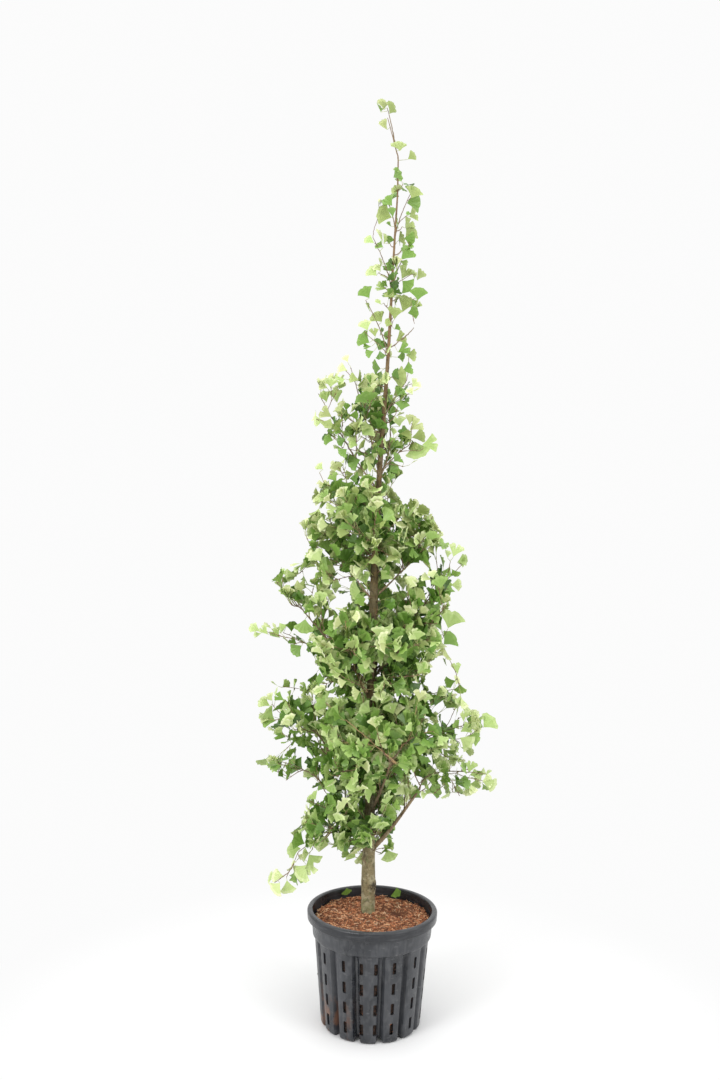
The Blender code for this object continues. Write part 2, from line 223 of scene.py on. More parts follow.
def raise_profile(name, profile, sides):
    """A disc that is extruded and resized through the rings of a profile, and closed at its last ring."""
    bpy.ops.object.select_all(action="DESELECT")
    radius, height = profile[0]
    place = (0.0, 0.0, height)
    bpy.ops.mesh.primitive_circle_add(vertices=sides, radius=radius, fill_type="NGON", location=place)
    piece = bpy.context.active_object
    piece.name = name
    bpy.ops.object.mode_set(mode="EDIT")
    bpy.ops.mesh.select_all(action="SELECT")
    for wide, high in profile[1:]:
        bpy.ops.mesh.extrude_region_move(TRANSFORM_OT_translate={"value": (0.0, 0.0, high - height)})
        share = wide / radius
        bpy.ops.transform.resize(value=(share, share, 1.0), center_override=(0.0, 0.0, high))
        radius, height = wide, high
    bpy.ops.object.mode_set(mode="OBJECT")
    bpy.ops.object.transform_apply(location=True, rotation=True, scale=True)
    return piece


def into_lobes(piece, top, least_radius):
    """Presses the valleys between the lobes into the rings below a height. They fade out at the top, and at
    the foot they rise off the floor, so that each lobe stands as a foot of its own."""
    pitch = 2 * math.pi / LOBES
    for vert in piece.data.vertices:
        radius = math.hypot(vert.co.x, vert.co.y)
        if radius < least_radius or vert.co.z > top:
            continue
        turn = (math.atan2(vert.co.x, -vert.co.y) - LOBE_TURN) / pitch
        from_crest = abs(turn - round(turn)) * 2
        share = min(1.0, max(0.0, (from_crest - VALLEY_FROM) / (VALLEY_TO - VALLEY_FROM)))
        share = share * share * (3 - 2 * share)
        low_down = 1 - vert.co.z / top
        depth = (VALLEY_DEPTHS[0] + (VALLEY_DEPTHS[1] - VALLEY_DEPTHS[0]) * low_down) * share
        depth += LOBE_ROUND * from_crest**2
        rise = math.sqrt(min(1.0, (top - vert.co.z) / VALLEY_FADE))
        shrink = 1 - depth * rise / radius
        vert.co.x *= shrink
        vert.co.y *= shrink
        vert.co.z += VALLEY_LIFT * share * max(0.0, 1 - vert.co.z / VALLEY_LIFT_TOP) ** 2


def ride(piece, slot, *stands_for):
    """Fixes a finished piece to the plant and hides the solids that it stands for. The material slot is not
    used.
    """
    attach(piece, "root")
    if stands_for:
        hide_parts(*stands_for)


def mottle_group():
    """Uneven patches: a mask of noise over the piece's own coordinates, between two levels of the noise."""
    group = bpy.data.node_groups.new("Mottle", "ShaderNodeTree")
    for socket, kind in (("Grain", "Vector"), ("Detail", "Float"), ("Low", "Float"), ("High", "Float")):
        group.interface.new_socket(socket, in_out="INPUT", socket_type="NodeSocket" + kind)
    group.interface.new_socket("Mask", in_out="OUTPUT", socket_type="NodeSocketFloat")
    asked = group.nodes.new("NodeGroupInput")
    given = group.nodes.new("NodeGroupOutput")
    here = group.nodes.new("ShaderNodeTexCoord")
    scaled = group.nodes.new("ShaderNodeVectorMath")
    scaled.operation = "MULTIPLY"
    cloud = group.nodes.new("ShaderNodeTexNoise")
    cloud.inputs["Scale"].default_value = 1.0
    level_out = group.nodes.new("ShaderNodeMapRange")
    group.links.new(here.outputs["Object"], scaled.inputs[0])
    group.links.new(asked.outputs["Grain"], scaled.inputs[1])
    group.links.new(scaled.outputs["Vector"], cloud.inputs["Vector"])
    group.links.new(asked.outputs["Detail"], cloud.inputs["Detail"])
    group.links.new(cloud.outputs["Fac"], level_out.inputs["Value"])
    group.links.new(asked.outputs["Low"], level_out.inputs["From Min"])
    group.links.new(asked.outputs["High"], level_out.inputs["From Max"])
    group.links.new(level_out.outputs["Result"], given.inputs["Mask"])
    return group


mottle = mottle_group()


def patches(finish, grain, low, high, detail=4.0):
    """A mottled mask in a finish. Grain is how many patches go to a metre along each axis."""
    node = finish.node_tree.nodes.new("ShaderNodeGroup")
    node.node_tree = mottle
    node.inputs["Grain"].default_value = grain
    node.inputs["Detail"].default_value = detail
    node.inputs["Low"].default_value = low
    node.inputs["High"].default_value = high
    return node.outputs["Mask"]


def over(finish, mask, colour, share=1.0):
    """Lays a colour over the finish's base colour where the mask is, up to a share."""
    tree = finish.node_tree
    target = tree.nodes["Principled BSDF"].inputs["Base Color"]
    mixer = tree.nodes.new("ShaderNodeMix")
    mixer.data_type = "RGBA"
    strength = tree.nodes.new("ShaderNodeMath")
    strength.operation = "MULTIPLY"
    strength.inputs[1].default_value = share
    tree.links.new(mask, strength.inputs[0])
    tree.links.new(strength.outputs[0], mixer.inputs["Factor"])
    if target.is_linked:
        tree.links.new(target.links[0].from_socket, mixer.inputs["A"])
    else:
        mixer.inputs["A"].default_value = target.default_value
    mixer.inputs["B"].default_value = (*colour, 1.0)
    tree.links.new(mixer.outputs["Result"], target)


def lay_patches(finish, rows):
    """Lays patches over a finish, row by row: their grain, low, high and detail, the colour and its share."""
    for grain, low, high, detail, colour, share in rows:
        over(finish, patches(finish, grain, low, high, detail), colour, share)


def by_place(finish, axis, start, end):
    """A mask that goes from 0 to 1 between two places along one axis of the piece."""
    tree = finish.node_tree
    here = tree.nodes.new("ShaderNodeTexCoord")
    parts = tree.nodes.new("ShaderNodeSeparateXYZ")
    tree.links.new(here.outputs["Object"], parts.inputs[0])
    return eased(tree, parts.outputs[axis], start, end)


def close_to(finish, place, start, end):
    """A mask that goes from 0 to 1 between two distances from a place."""
    tree = finish.node_tree
    here = tree.nodes.new("ShaderNodeTexCoord")
    gap = tree.nodes.new("ShaderNodeVectorMath")
    gap.operation = "DISTANCE"
    gap.inputs[1].default_value = place
    tree.links.new(here.outputs["Object"], gap.inputs[0])
    return eased(tree, gap.outputs["Value"], start, end)


def both_masks(finish, one, other):
    """The mask of where two masks meet."""
    tree = finish.node_tree
    product = tree.nodes.new("ShaderNodeMath")
    product.operation = "MULTIPLY"
    tree.links.new(one, product.inputs[0])
    tree.links.new(other, product.inputs[1])
    return product.outputs[0]


def bumps(finish, mask, height):
    """Raises the surface where the mask is, by up to a height."""
    tree = finish.node_tree
    bump = tree.nodes.new("ShaderNodeBump")
    bump.inputs["Distance"].default_value = height
    tree.links.new(mask, bump.inputs["Height"])
    normal = tree.nodes["Principled BSDF"].inputs["Normal"]
    if normal.is_linked:
        tree.links.new(normal.links[0].from_socket, bump.inputs["Normal"])
    tree.links.new(bump.outputs["Normal"], normal)


def rough_between(finish, mask, smooth, rough):
    """Roughness that goes from one value to another with the mask."""
    tree = finish.node_tree
    spread = tree.nodes.new("ShaderNodeMapRange")
    spread.inputs["To Min"].default_value = smooth
    spread.inputs["To Max"].default_value = rough
    tree.links.new(mask, spread.inputs["Value"])
    tree.links.new(spread.outputs["Result"], tree.nodes["Principled BSDF"].inputs["Roughness"])


def slot_places(rows):
    """The turn that faces each slot, as a matrix of so many rows, and its height. Two lobes have two columns
    of slots."""
    for lobe in range(LOBES):
        for turn in (-DOUBLE_SLOT_TURN, DOUBLE_SLOT_TURN) if lobe in (0, LOBES // 2) else (0.0,):
            around = Matrix.Rotation(LOBE_TURN + math.radians(lobe * 360 / LOBES + turn), rows, "Z")
            for height in SLOT_HEIGHTS:
                yield around, height


rim_foot = POT_HEIGHT - RIM_DROP
rim_inner_round = (RIM_RADIUS - RIM_INNER_RADIUS) / 2 - 0.001
outer = [(BASE_CENTRE_RADIUS, BASE_RISE), (BASE_RADIUS, BASE_RISE), (BASE_RADIUS + 0.012, BASE_RISE - 0.002)]
outer += arc(LOBE_FOOT_RADIUS - LOBE_FOOT_ROUND, LOBE_FOOT_ROUND, LOBE_FOOT_ROUND, -90, 0, 5)
outer += run(outer[-1], (LOBE_TOP_RADIUS, LOBE_TOP_Z), 26)
outer += run(outer[-1], (COLLAR_RADIUS, COLLAR_FOOT_Z), 3)
outer += run(outer[-1], (COLLAR_RADIUS + 0.004, rim_foot - 0.002), 6)
outer += run(outer[-1], (RIM_RADIUS - 0.004, rim_foot), 2)
outer += arc(RIM_RADIUS - 0.003, rim_foot + 0.002, 0.002, -70, 0, 3)
outer += arc(RIM_RADIUS - RIM_ROUND, POT_HEIGHT - RIM_ROUND, RIM_ROUND, 0, 90, 6)
inner = arc(RIM_INNER_RADIUS + 0.004, POT_HEIGHT - 0.004, 0.004, 90, 180, 4)
inner += run(inner[-1], (COLLAR_RADIUS - POT_WALL, COLLAR_FOOT_Z), 5)
inner += run(inner[-1], (LOBE_TOP_RADIUS - POT_WALL, LOBE_TOP_Z), 2)
inner += run(inner[-1], (LOBE_FOOT_RADIUS - LOBE_FOOT_ROUND, POT_WALL + 0.004), 20)
inner += run(inner[-1], (BASE_RADIUS - 0.002, BASE_RISE + POT_WALL), 1)
inner += run(inner[-1], (BASE_CENTRE_RADIUS, BASE_RISE + POT_WALL), 1)
pot = raise_profile("pot_shell", [*outer, *inner], LOBES * SIDES_PER_LOBE)
into_lobes(pot, LOBE_TOP_Z + 0.004, BASE_RADIUS + 0.004)

bpy.ops.object.select_all(action="DESELECT")
bpy.ops.mesh.primitive_cube_add(size=1.0, location=ORIGIN)
slot_block = bpy.context.active_object
slot_block.scale = SLOT_SIZE
bpy.ops.object.transform_apply(location=False, rotation=False, scale=True)
bpy.ops.object.mode_set(mode="EDIT")
bpy.ops.mesh.select_all(action="SELECT")
bpy.ops.mesh.bevel(offset=SLOT_CORNER, segments=2, affect="EDGES")
bpy.ops.object.mode_set(mode="OBJECT")
blocks = []
for around, height in slot_places(4):
    block = slot_block.copy()
    block.data = slot_block.data.copy()
    block.data.transform(around @ Matrix.Translation((0.0, -LOBE_FOOT_RADIUS - POT_WALL, height)))
    bpy.context.scene.collection.objects.link(block)
    blocks.append(block)
bpy.data.objects.remove(slot_block)
bpy.ops.object.select_all(action="DESELECT")
for block in blocks:
    block.select_set(True)
bpy.context.view_layer.objects.active = blocks[0]
bpy.ops.object.join()
slots = bpy.context.active_object
bpy.ops.object.select_all(action="DESELECT")
pot.select_set(True)
bpy.context.view_layer.objects.active = pot
pierce = pot.modifiers.new("Slots", "BOOLEAN")
pierce.operation = "DIFFERENCE"
pierce.solver = "EXACT"
pierce.object = slots
bpy.ops.object.modifier_apply(modifier="Slots")
bpy.data.objects.remove(slots)
bpy.ops.object.shade_smooth_by_angle(angle=SMOOTH_UNDER)

pot_finish = new_finish("pot_plastic", (0.014, 0.016, 0.020), 0.40)
dust = patches(pot_finish, (13.0, 13.0, 6.0), 0.40, 0.68)
over(pot_finish, dust, (0.052, 0.055, 0.062), 0.8)
over(pot_finish, patches(pot_finish, (75.0, 75.0, 40.0), 0.48, 0.70), (0.078, 0.080, 0.086), 0.5)
streaks = patches(pot_finish, (120.0, 120.0, 7.0), 0.56, 0.76, 3.0)
over(pot_finish, streaks, (0.10, 0.10, 0.10), 0.35)
scuffs = patches(pot_finish, (45.0, 45.0, 260.0), 0.66, 0.74, 2.0)
over(pot_finish, scuffs, (0.20, 0.20, 0.20), 0.35)
earth = patches(pot_finish, (34.0, 34.0, 22.0), 0.50, 0.62, 6.0)
low_down = by_place(pot_finish, "Z", 0.170, 0.040)
to_the_left = by_place(pot_finish, "X", -0.020, -0.120)
washed_out = both_masks(pot_finish, low_down, to_the_left)
over(pot_finish, both_masks(pot_finish, earth, washed_out), (0.17, 0.08, 0.045), 0.8)
# Painted shade: the whole rim above the collar is darkened, for its rounded face turned away from the light.
on_rim = by_place(pot_finish, "Z", 0.309, 0.315)
over(pot_finish, on_rim, (0.010, 0.011, 0.014), 0.75)
worn = patches(pot_finish, (17.0, 17.0, 130.0), 0.52, 0.72, 5.0)
over(pot_finish, both_masks(pot_finish, on_rim, worn), (0.080, 0.083, 0.090), 0.5)
# Painted highlight: a light band along the rounded top of the rim, where it catches the light.
over(pot_finish, by_place(pot_finish, "Z", 0.3390, 0.3415), (0.065, 0.067, 0.073), 0.5)
rough_between(pot_finish, dust, 0.24, 0.48)
bumps(pot_finish, patches(pot_finish, (900.0, 900.0, 900.0), 0.3, 0.7, 2.0), 0.00012)
pot.data.materials.append(pot_finish)
ride(pot, "pot_plastic", "pot")


# Root ball and mulch. The pot is filled with composted bark, pressed into the lobes so that it shows at the
# slots. It is brown at its top and near-black below, partly its own dark colour and partly a painted shade
# for the inside of the slots, and so are the crumbs at the slots. Its top is dressed with chipped bark,
# red-brown fibres and flakes lying every way, with dark gaps between them and a few pale splinters of wood;
# the dark chips are partly the bark's own and partly a painted shade in those gaps and in the hollow.
MULCH_Z = 0.3125
BED_UNEVEN = 0.0050
BED_RADIUS = 0.1765
PIT_DEPTH = 0.0030
TRUNK_FOOT = (-0.012, 0.030)
TRUNK_CLEAR = 0.022
MOUND = (0.007, 0.040)
HOLLOW_PLACE = (0.080, 0.046)
HOLLOW = (0.018, 0.036)
MOSSY_PLACE = (0.026, -0.012)
MOSSY_REACH = 0.021
CHIP_KINDS = 8
CHIP_COUNT = 6200
CHIP_SIZES = (0.005, 0.0150)
# Chip tints and their shares. The dark chips are partly the bark's own and partly a painted shade for the
# gaps between the chips.
CHIP_TINTS = (
    ("mulch_brown", (0.590, 0.235, 0.105), 0.34),
    ("mulch_rust", (0.450, 0.150, 0.065), 0.17),
    ("mulch_dark", (0.150, 0.055, 0.028), 0.23),
    ("mulch_pale", (0.860, 0.480, 0.250), 0.19),
    ("mulch_straw", (0.920, 0.680, 0.430), 0.07),
    ("mulch_mossy", (0.180, 0.170, 0.065), 0.0),
    ("slot_crumbs", (0.045, 0.026, 0.018), 0.0),
)
# The crumbs at the slots are near-black: partly compost, partly a painted shade for the inside of the slots.
CRUMBS_PER_SLOT = 8
CRUMB_SIZES = (0.003, 0.0065)
CRUMB_MIX = ("slot_crumbs", "mulch_dark", "mulch_rust"), (0.85, 0.12, 0.03)

draw = random.Random(5)
noise.seed_set(5)


def apart(x, y, place):
    """How far a point of the bed lies from a place on it."""
    return math.hypot(x - place[0], y - place[1])


def bed_height(x, y):
    """The mulch is lumpy, heaped a little against the trunk and scraped hollow behind it to the right."""
    lumps = noise.fractal(Vector((x * 38, y * 38, 3.0)), 0.6, 2.0, 3)
    mound = MOUND[0] * math.exp(-((apart(x, y, TRUNK_FOOT) / MOUND[1]) ** 2))
    hollow = HOLLOW[0] * math.exp(-((apart(x, y, HOLLOW_PLACE) / HOLLOW[1]) ** 2))
    return MULCH_Z + BED_UNEVEN * lumps + mound - hollow


fill = [(BASE_CENTRE_RADIUS, BASE_RISE + POT_WALL), (BASE_RADIUS, BASE_RISE + POT_WALL)]
fill += run(fill[-1], (LOBE_FOOT_RADIUS - POT_WALL - 0.0030, LOBE_FOOT_ROUND + 0.004), 3)
fill += run(fill[-1], (LOBE_TOP_RADIUS - POT_WALL - 0.0018, LOBE_TOP_Z), 60)
fill += run(fill[-1], (COLLAR_RADIUS - POT_WALL - 0.0008, COLLAR_FOOT_Z + 0.003), 2)
fill += run(fill[-1], (BED_RADIUS, MULCH_Z - 0.002), 4)
fill += run(fill[-1], (0.004, MULCH_Z), 44)
root_ball = raise_profile("compost_and_mulch", fill, LOBES * 10)
into_lobes(root_ball, LOBE_TOP_Z + 0.004, BASE_RADIUS + 0.004)
for vert in root_ball.data.vertices:
    if vert.co.z > MULCH_Z - 0.0015:
        vert.co.z = bed_height(vert.co.x, vert.co.y)
    elif vert.co.z > LOBE_FOOT_ROUND:
        pit = PIT_DEPTH * max(0.0, noise.noise(vert.co * 160) + 0.30)
        vert.co.xy *= 1 - pit / vert.co.xy.length
bpy.ops.object.shade_smooth()
# Near-black compost, brown only at its top: partly its own dark colour, partly a painted shade for the inside
# of the slots.
compost_finish = new_finish("compost", (0.022, 0.013, 0.009), 0.95)
over(compost_finish, by_place(compost_finish, "Z", 0.285, 0.305), (0.200, 0.080, 0.038))
lay_patches(compost_finish, [((260.0, 260.0, 260.0), 0.52, 0.62, 3.0, (0.110, 0.050, 0.028), 0.7)])
bumps(compost_finish, patches(compost_finish, (420.0, 420.0, 420.0), 0.3, 0.7, 4.0), 0.0018)
root_ball.data.materials.append(compost_finish)
ride(root_ball, "mulch", "root_ball")


def chip_shape(number):
    """One splinter of bark, a unit long: a bar cut twice along its length and pushed out of true."""
    bpy.ops.object.select_all(action="DESELECT")
    bpy.ops.mesh.primitive_cube_add(size=1.0, location=ORIGIN)
    chip = bpy.context.active_object
    chip.scale = (1.0, 0.06 + 0.045 * (number % 4), 0.05 + 0.03 * (number % 2))
    bpy.ops.object.transform_apply(location=False, rotation=False, scale=True)
    bpy.ops.object.mode_set(mode="EDIT")
    bpy.ops.mesh.select_all(action="SELECT")
    for cut_x in (-0.2, 0.2):
        bpy.ops.mesh.bisect(plane_co=(cut_x, 0.0, 0.0), plane_no=(1.0, 0.0, 0.0))
        bpy.ops.mesh.select_all(action="SELECT")
    bpy.ops.mesh.quads_convert_to_tris()
    bpy.ops.object.mode_set(mode="OBJECT")
    for vert in chip.data.vertices:
        shift = noise.noise_vector(vert.co * 2.3 + Vector((number * 5.0, 0.0, 0.0)))
        vert.co += Vector((shift.x * 0.16, shift.y * 0.10, shift.z * 0.09))
        vert.co.z -= 0.16 * (vert.co.x**2)
    points = np.array([vert.co[:] for vert in chip.data.vertices])
    faces = np.array([face.vertices[:] for face in chip.data.polygons])
    bpy.data.objects.remove(chip)
    return points, faces


class Bundle:
    """Many like small things to be joined into one piece: their points, and their faces kind by kind."""

    def __init__(self, kinds=1):
        self.points = []
        self.faces = [[] for _ in range(kinds)]
        self.count = 0

    def add(self, points, *faces):
        self.points.append(points)
        for stack, kind in zip(self.faces, faces):
            stack.append(kind + self.count)
        self.count += len(points)

    def joined(self, name, finishes, numbers=(0,)):
        """The piece, with its finishes and the number of the finish of each kind of faces."""
        stacks = [np.concatenate(stack) for stack in self.faces]
        corners = np.concatenate([np.full(len(stack), stack.shape[1]) for stack in stacks])
        mesh = bpy.data.meshes.new(name)
        mesh.vertices.add(self.count)
        mesh.vertices.foreach_set("co", np.concatenate(self.points).ravel())
        mesh.loops.add(int(corners.sum()))
        mesh.loops.foreach_set("vertex_index", np.concatenate([stack.ravel() for stack in stacks]))
        mesh.polygons.add(len(corners))
        mesh.polygons.foreach_set("loop_start", np.concatenate(([0], np.cumsum(corners)[:-1])))
        order = [np.full(len(stack), number) for stack, number in zip(stacks, numbers)]
        mesh.polygons.foreach_set("material_index", np.concatenate(order))
        mesh.update(calc_edges=True)
        mesh.validate()
        for finish in finishes:
            mesh.materials.append(finish)
        piece = bpy.data.objects.new(name, mesh)
        bpy.context.scene.collection.objects.link(piece)
        return piece


chip_shapes = [chip_shape(number) for number in range(CHIP_KINDS)]
chip_names, chip_colours, chip_shares = zip(*CHIP_TINTS)
chips = {name: Bundle() for name in chip_names}
for _ in range(CHIP_COUNT):
    out = (BED_RADIUS - 0.003) * math.sqrt(draw.random())
    turn = draw.uniform(0, 2 * math.pi)
    x, y = out * math.cos(turn), out * math.sin(turn)
    if apart(x, y, TRUNK_FOOT) < TRUNK_CLEAR:
        continue
    weights = list(chip_shares)
    # Painted shade: dark chips gather in the hollow.
    if apart(x, y, HOLLOW_PLACE) < HOLLOW[1] * draw.uniform(0.5, 1.2):
        weights[chip_names.index("mulch_dark")] = 3.0
    if apart(x, y, MOSSY_PLACE) < MOSSY_REACH * draw.uniform(0.3, 1.0):
        weights[chip_names.index("mulch_mossy")] = 1.2
    name = draw.choices(chip_names, weights)[0]
    points, faces = chip_shapes[draw.randrange(CHIP_KINDS)]
    size = CHIP_SIZES[0] + (CHIP_SIZES[1] - CHIP_SIZES[0]) * draw.random() ** 2
    lying = Matrix.Rotation(draw.uniform(0, 2 * math.pi), 3, "Z")
    lying = lying @ Matrix.Rotation(draw.gauss(0, 0.32), 3, "Y") @ Matrix.Rotation(draw.gauss(0, 0.6), 3, "X")
    place = np.array((x, y, bed_height(x, y) + draw.uniform(0.0003, 0.0022)))
    moved = points @ np.array(lying).T * size + place
    if np.linalg.norm(moved[:, :2], axis=1).max() <= BED_RADIUS + 0.0015:
        chips[name].add(moved, faces)
# Crumbs in the slots, mostly near-black, a painted shade inside them as much as compost.
for around, height in slot_places(3):
    wall = LOBE_FOOT_RADIUS + (LOBE_TOP_RADIUS - LOBE_FOOT_RADIUS) * height / LOBE_TOP_Z
    for _ in range(CRUMBS_PER_SLOT):
        edge = draw.choice((-1, 1)) * SLOT_SIZE[0] * draw.uniform(0.25, 0.50)
        up = height + SLOT_SIZE[2] * draw.uniform(-0.50, 0.50)
        spot = around @ Vector((edge, -wall + draw.uniform(0.0005, 0.0035), up))
        name = draw.choices(*CRUMB_MIX)[0]
        points, faces = chip_shapes[draw.randrange(CHIP_KINDS)]
        lying = around @ Matrix.Rotation(draw.uniform(0, math.pi), 3, "Y")
        lying = lying @ Matrix.Rotation(draw.uniform(0, math.pi), 3, "X")
        moved = points @ np.array(lying).T * draw.uniform(*CRUMB_SIZES) + np.array(spot)
        chips[name].add(moved, faces)
for name, colour in zip(chip_names, chip_colours):
    ride(chips[name].joined(name, [new_finish(name, colour, 0.88)]), "mulch")


# Trunk. One straight young stem with thin, smooth, grey-tan bark: faint upright furrows, corky specks, pale
# scaly patches, a green film at the foot, a dark knobbly scar where it was grafted, and collars under the
# boughs. It is a sleeve of bark along the stem's own middle line.
TRUNK_SIDES = 44
TRUNK_ROW = 0.0045
TRUNK_MOST = 0.0220
TRUNK_STATIONS = 170
TRUNK_SLIMMING = (0.97, 0.12, 0.45)
GRAFT_PLACE = (0.004, 0.014, 0.402)
GRAFT_REACH = 0.015
TRUNK_PATCHES = (
    ((42.0, 42.0, 40.0), 0.47, 0.56, 4.0, (0.400, 0.355, 0.225), 0.80),
    ((90.0, 90.0, 60.0), 0.53, 0.64, 5.0, (0.075, 0.055, 0.026), 0.75),
    ((70.0, 70.0, 60.0), 0.58, 0.66, 3.0, (0.20, 0.21, 0.09), 0.6),
    ((330.0, 330.0, 460.0), 0.60, 0.68, 1.0, (0.050, 0.035, 0.020), 0.8),
)
UP = Vector((0.0, 0.0, 1.0))


def surface_of(node):
    """A node's solid, for rays and nearest points."""
    mesh = frame["nodes"][node].data
    return BVHTree.FromPolygons([v.co for v in mesh.vertices], [p.vertices[:] for p in mesh.polygons])


def girth(surface, place, along, reach):
    """The centre and radius of a limb's solid near a place, felt from outside at right angles to it."""
    side = along.orthogonal().normalized()
    for _ in range(2):
        met = []
        for step in range(8):
            way = Matrix.Rotation(step * math.pi / 4, 3, along) @ side
            hit = surface.ray_cast(place + way * reach, -way, reach)[0]
            if hit is not None:
                met.append(hit)
        if not met:
            return place, 0.0
        place = sum(met, Vector()) / len(met)
    return place, sum((hit - place).length for hit in met) / len(met)


def along_line(line, share):
    """The centre, radius and direction at a share of a line of centres and radii."""
    at = min(max(share, 0.0), 1.0) * (len(line) - 1)
    step = min(int(at), len(line) - 2)
    part = at - step
    (low, low_radius), (high, high_radius) = line[step], line[step + 1]
    before = line[max(step - 1, 0)][0]
    after = line[min(step + 2, len(line) - 1)][0]
    way = ((high - before).normalized() * (1 - part) + (after - low).normalized() * part).normalized()
    return low.lerp(high, part), low_radius + (high_radius - low_radius) * part, way


def bark_sleeve(name, line, length, sides, row, relief):
    """A cylinder cut into short rows, bent along a limb's line and raised by its bark's relief."""
    bpy.ops.object.select_all(action="DESELECT")
    bpy.ops.mesh.primitive_cylinder_add(vertices=sides, radius=1.0, depth=1.0, location=(0.0, 0.0, 0.5))
    piece = bpy.context.active_object
    piece.name = name
    bpy.ops.object.transform_apply(location=True)
    bpy.ops.object.mode_set(mode="EDIT")
    bm = bmesh.from_edit_mesh(piece.data)
    for edge in bm.edges:
        edge.select_set(abs(edge.verts[0].co.z - edge.verts[1].co.z) > 0.5)
    bmesh.update_edit_mesh(piece.data)
    bpy.ops.mesh.subdivide_edgering(number_cuts=max(4, round(length / row)), interpolation="LINEAR")
    bpy.ops.object.mode_set(mode="OBJECT")
    rows = {}
    for vert in piece.data.vertices:
        rows.setdefault(round(vert.co.z, 5), []).append(vert)
    across = Vector((1.0, 0.0, 0.0))
    for share in sorted(rows):
        centre, radius, way = along_line(line, share)
        across = (across - way * across.dot(way)).normalized()
        level_side = way.cross(across)
        for vert in rows[share]:
            out = across * vert.co.x + level_side * vert.co.y
            vert.co = centre + out * (radius + relief(centre + out * radius, out, radius, share))
    bpy.ops.object.shade_smooth_by_angle(angle=math.radians(60))
    return piece


trunk_low, trunk_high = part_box("trunk")
trunk_surface = surface_of("trunk")
trunk_height = trunk_high.z - trunk_low.z
trunk_line = []
feel = Vector((*TRUNK_FOOT, 0.0))
for station in range(TRUNK_STATIONS):
    height = trunk_low.z + 0.001 + (trunk_height - 0.003) * station / (TRUNK_STATIONS - 1)
    found, felt = girth(trunk_surface, Vector((feel.x, feel.y, height)), UP, 0.06)
    if felt:
        feel = found
        slimmer = TRUNK_SLIMMING[0] - TRUNK_SLIMMING[1] * max(0.0, height - TRUNK_SLIMMING[2])
        trunk_line.append((found, min(felt, TRUNK_MOST) * slimmer))


def trunk_at(height):
    """The trunk's centre and radius at a height."""
    return along_line(trunk_line, (height - trunk_low.z) / trunk_height)[:2]


BOUGH_STATIONS = 14
BOUGH_SLIMMING = (0.88, 0.25)
boughs = sorted(name for name in frame["nodes"] if name.startswith("bough_"))
masses = sorted(name for name in frame["nodes"] if name.startswith("leaves_"))


def from_trunk(place):
    """How far a place lies from the trunk's middle at its own height."""
    return (place.xy - trunk_at(place.z)[0].xy).length


def rough_ends(node):
    """The two ends of a solid along its longest direction, the one nearer the trunk first."""
    places = np.array([v.co[:] for v in frame["nodes"][node].data.vertices])
    middle = places.mean(axis=0)
    way = np.linalg.eigh(np.cov((places - middle).T))[1][:, -1]
    along = (places - middle) @ way
    ends = [Vector(middle + way * along.min()), Vector(middle + way * along.max())]
    return sorted(ends, key=lambda end: from_trunk(end) + 0.4 * end.z)


def bough_line(node):
    """A bough's centres and radii from its foot to where it enters the leaves."""
    foot, tip = rough_ends(node)
    surface = surface_of(node)
    way = (tip - foot).normalized()
    line = []
    for station in range(BOUGH_STATIONS):
        share = station / (BOUGH_STATIONS - 1)
        place, radius = girth(surface, foot.lerp(tip, 0.015 + 0.97 * share), way, 0.05)
        if radius:
            line.append((place, radius * (BOUGH_SLIMMING[0] - BOUGH_SLIMMING[1] * share)))
    return line


bough_lines = {node: bough_line(node) for node in boughs}


def trunk_relief(place, out, radius, share):
    """The lie of the bark: furrows, specks, the graft's knob, collars under boughs and root swellings."""
    scale = radius / 0.02
    furrow = noise.noise(Vector((place.x * 150, place.y * 150, place.z * 60)))
    speck = max(0.0, noise.noise(Vector((place.x * 330, place.y * 330, place.z * 420))) - 0.30)
    swell = noise.noise(Vector((place.x * 34, place.y * 34, place.z * 21)))
    height = 0.00030 * furrow * scale + 0.0013 * speck + 0.0008 * swell * scale
    from_graft = (place - Vector(GRAFT_PLACE)).length / GRAFT_REACH
    height += math.exp(-(from_graft**2)) * (0.0042 + 0.0055 * noise.noise(place * 150))
    ring = math.exp(-(((place.z - GRAFT_PLACE[2] - 0.006) / 0.010) ** 2))
    height += 0.0016 * ring * (1 + 0.9 * noise.noise(place * 90))
    for line in bough_lines.values():
        gap = (place - line[0][0]).length
        if gap < 0.06:
            height += 0.35 * line[0][1] * math.exp(-((gap / (line[0][1] * 1.7)) ** 2))
    foot = math.exp((MULCH_Z - place.z) / 0.012)
    height += 0.0012 * min(1.0, foot) * math.sin(5 * math.atan2(out.y, out.x) + 0.8)
    return height


trunk = bark_sleeve("trunk_bark", trunk_line, trunk_height, TRUNK_SIDES, TRUNK_ROW, trunk_relief)
trunk_finish = new_finish("trunk_bark", (0.240, 0.195, 0.100), 0.8)
lay_patches(trunk_finish, TRUNK_PATCHES)
film = patches(trunk_finish, (70.0, 70.0, 50.0), 0.34, 0.54)
near_foot = by_place(trunk_finish, "Z", 0.380, 0.318)
over(trunk_finish, both_masks(trunk_finish, film, near_foot), (0.165, 0.190, 0.075), 0.7)
higher_up = by_place(trunk_finish, "Z", 0.55, 1.10)
over(trunk_finish, higher_up, (0.105, 0.070, 0.024), 0.75)
lighter = patches(trunk_finish, (58.0, 58.0, 36.0), 0.50, 0.60)
over(trunk_finish, both_masks(trunk_finish, higher_up, lighter), (0.240, 0.155, 0.062), 0.7)
darker = patches(trunk_finish, (130.0, 130.0, 70.0), 0.55, 0.65)
over(trunk_finish, both_masks(trunk_finish, higher_up, darker), (0.040, 0.026, 0.012), 0.7)
over(trunk_finish, by_place(trunk_finish, "Z", 1.3, 2.4), (0.22, 0.125, 0.060), 0.6)
scar = close_to(trunk_finish, GRAFT_PLACE, 0.021, 0.009)
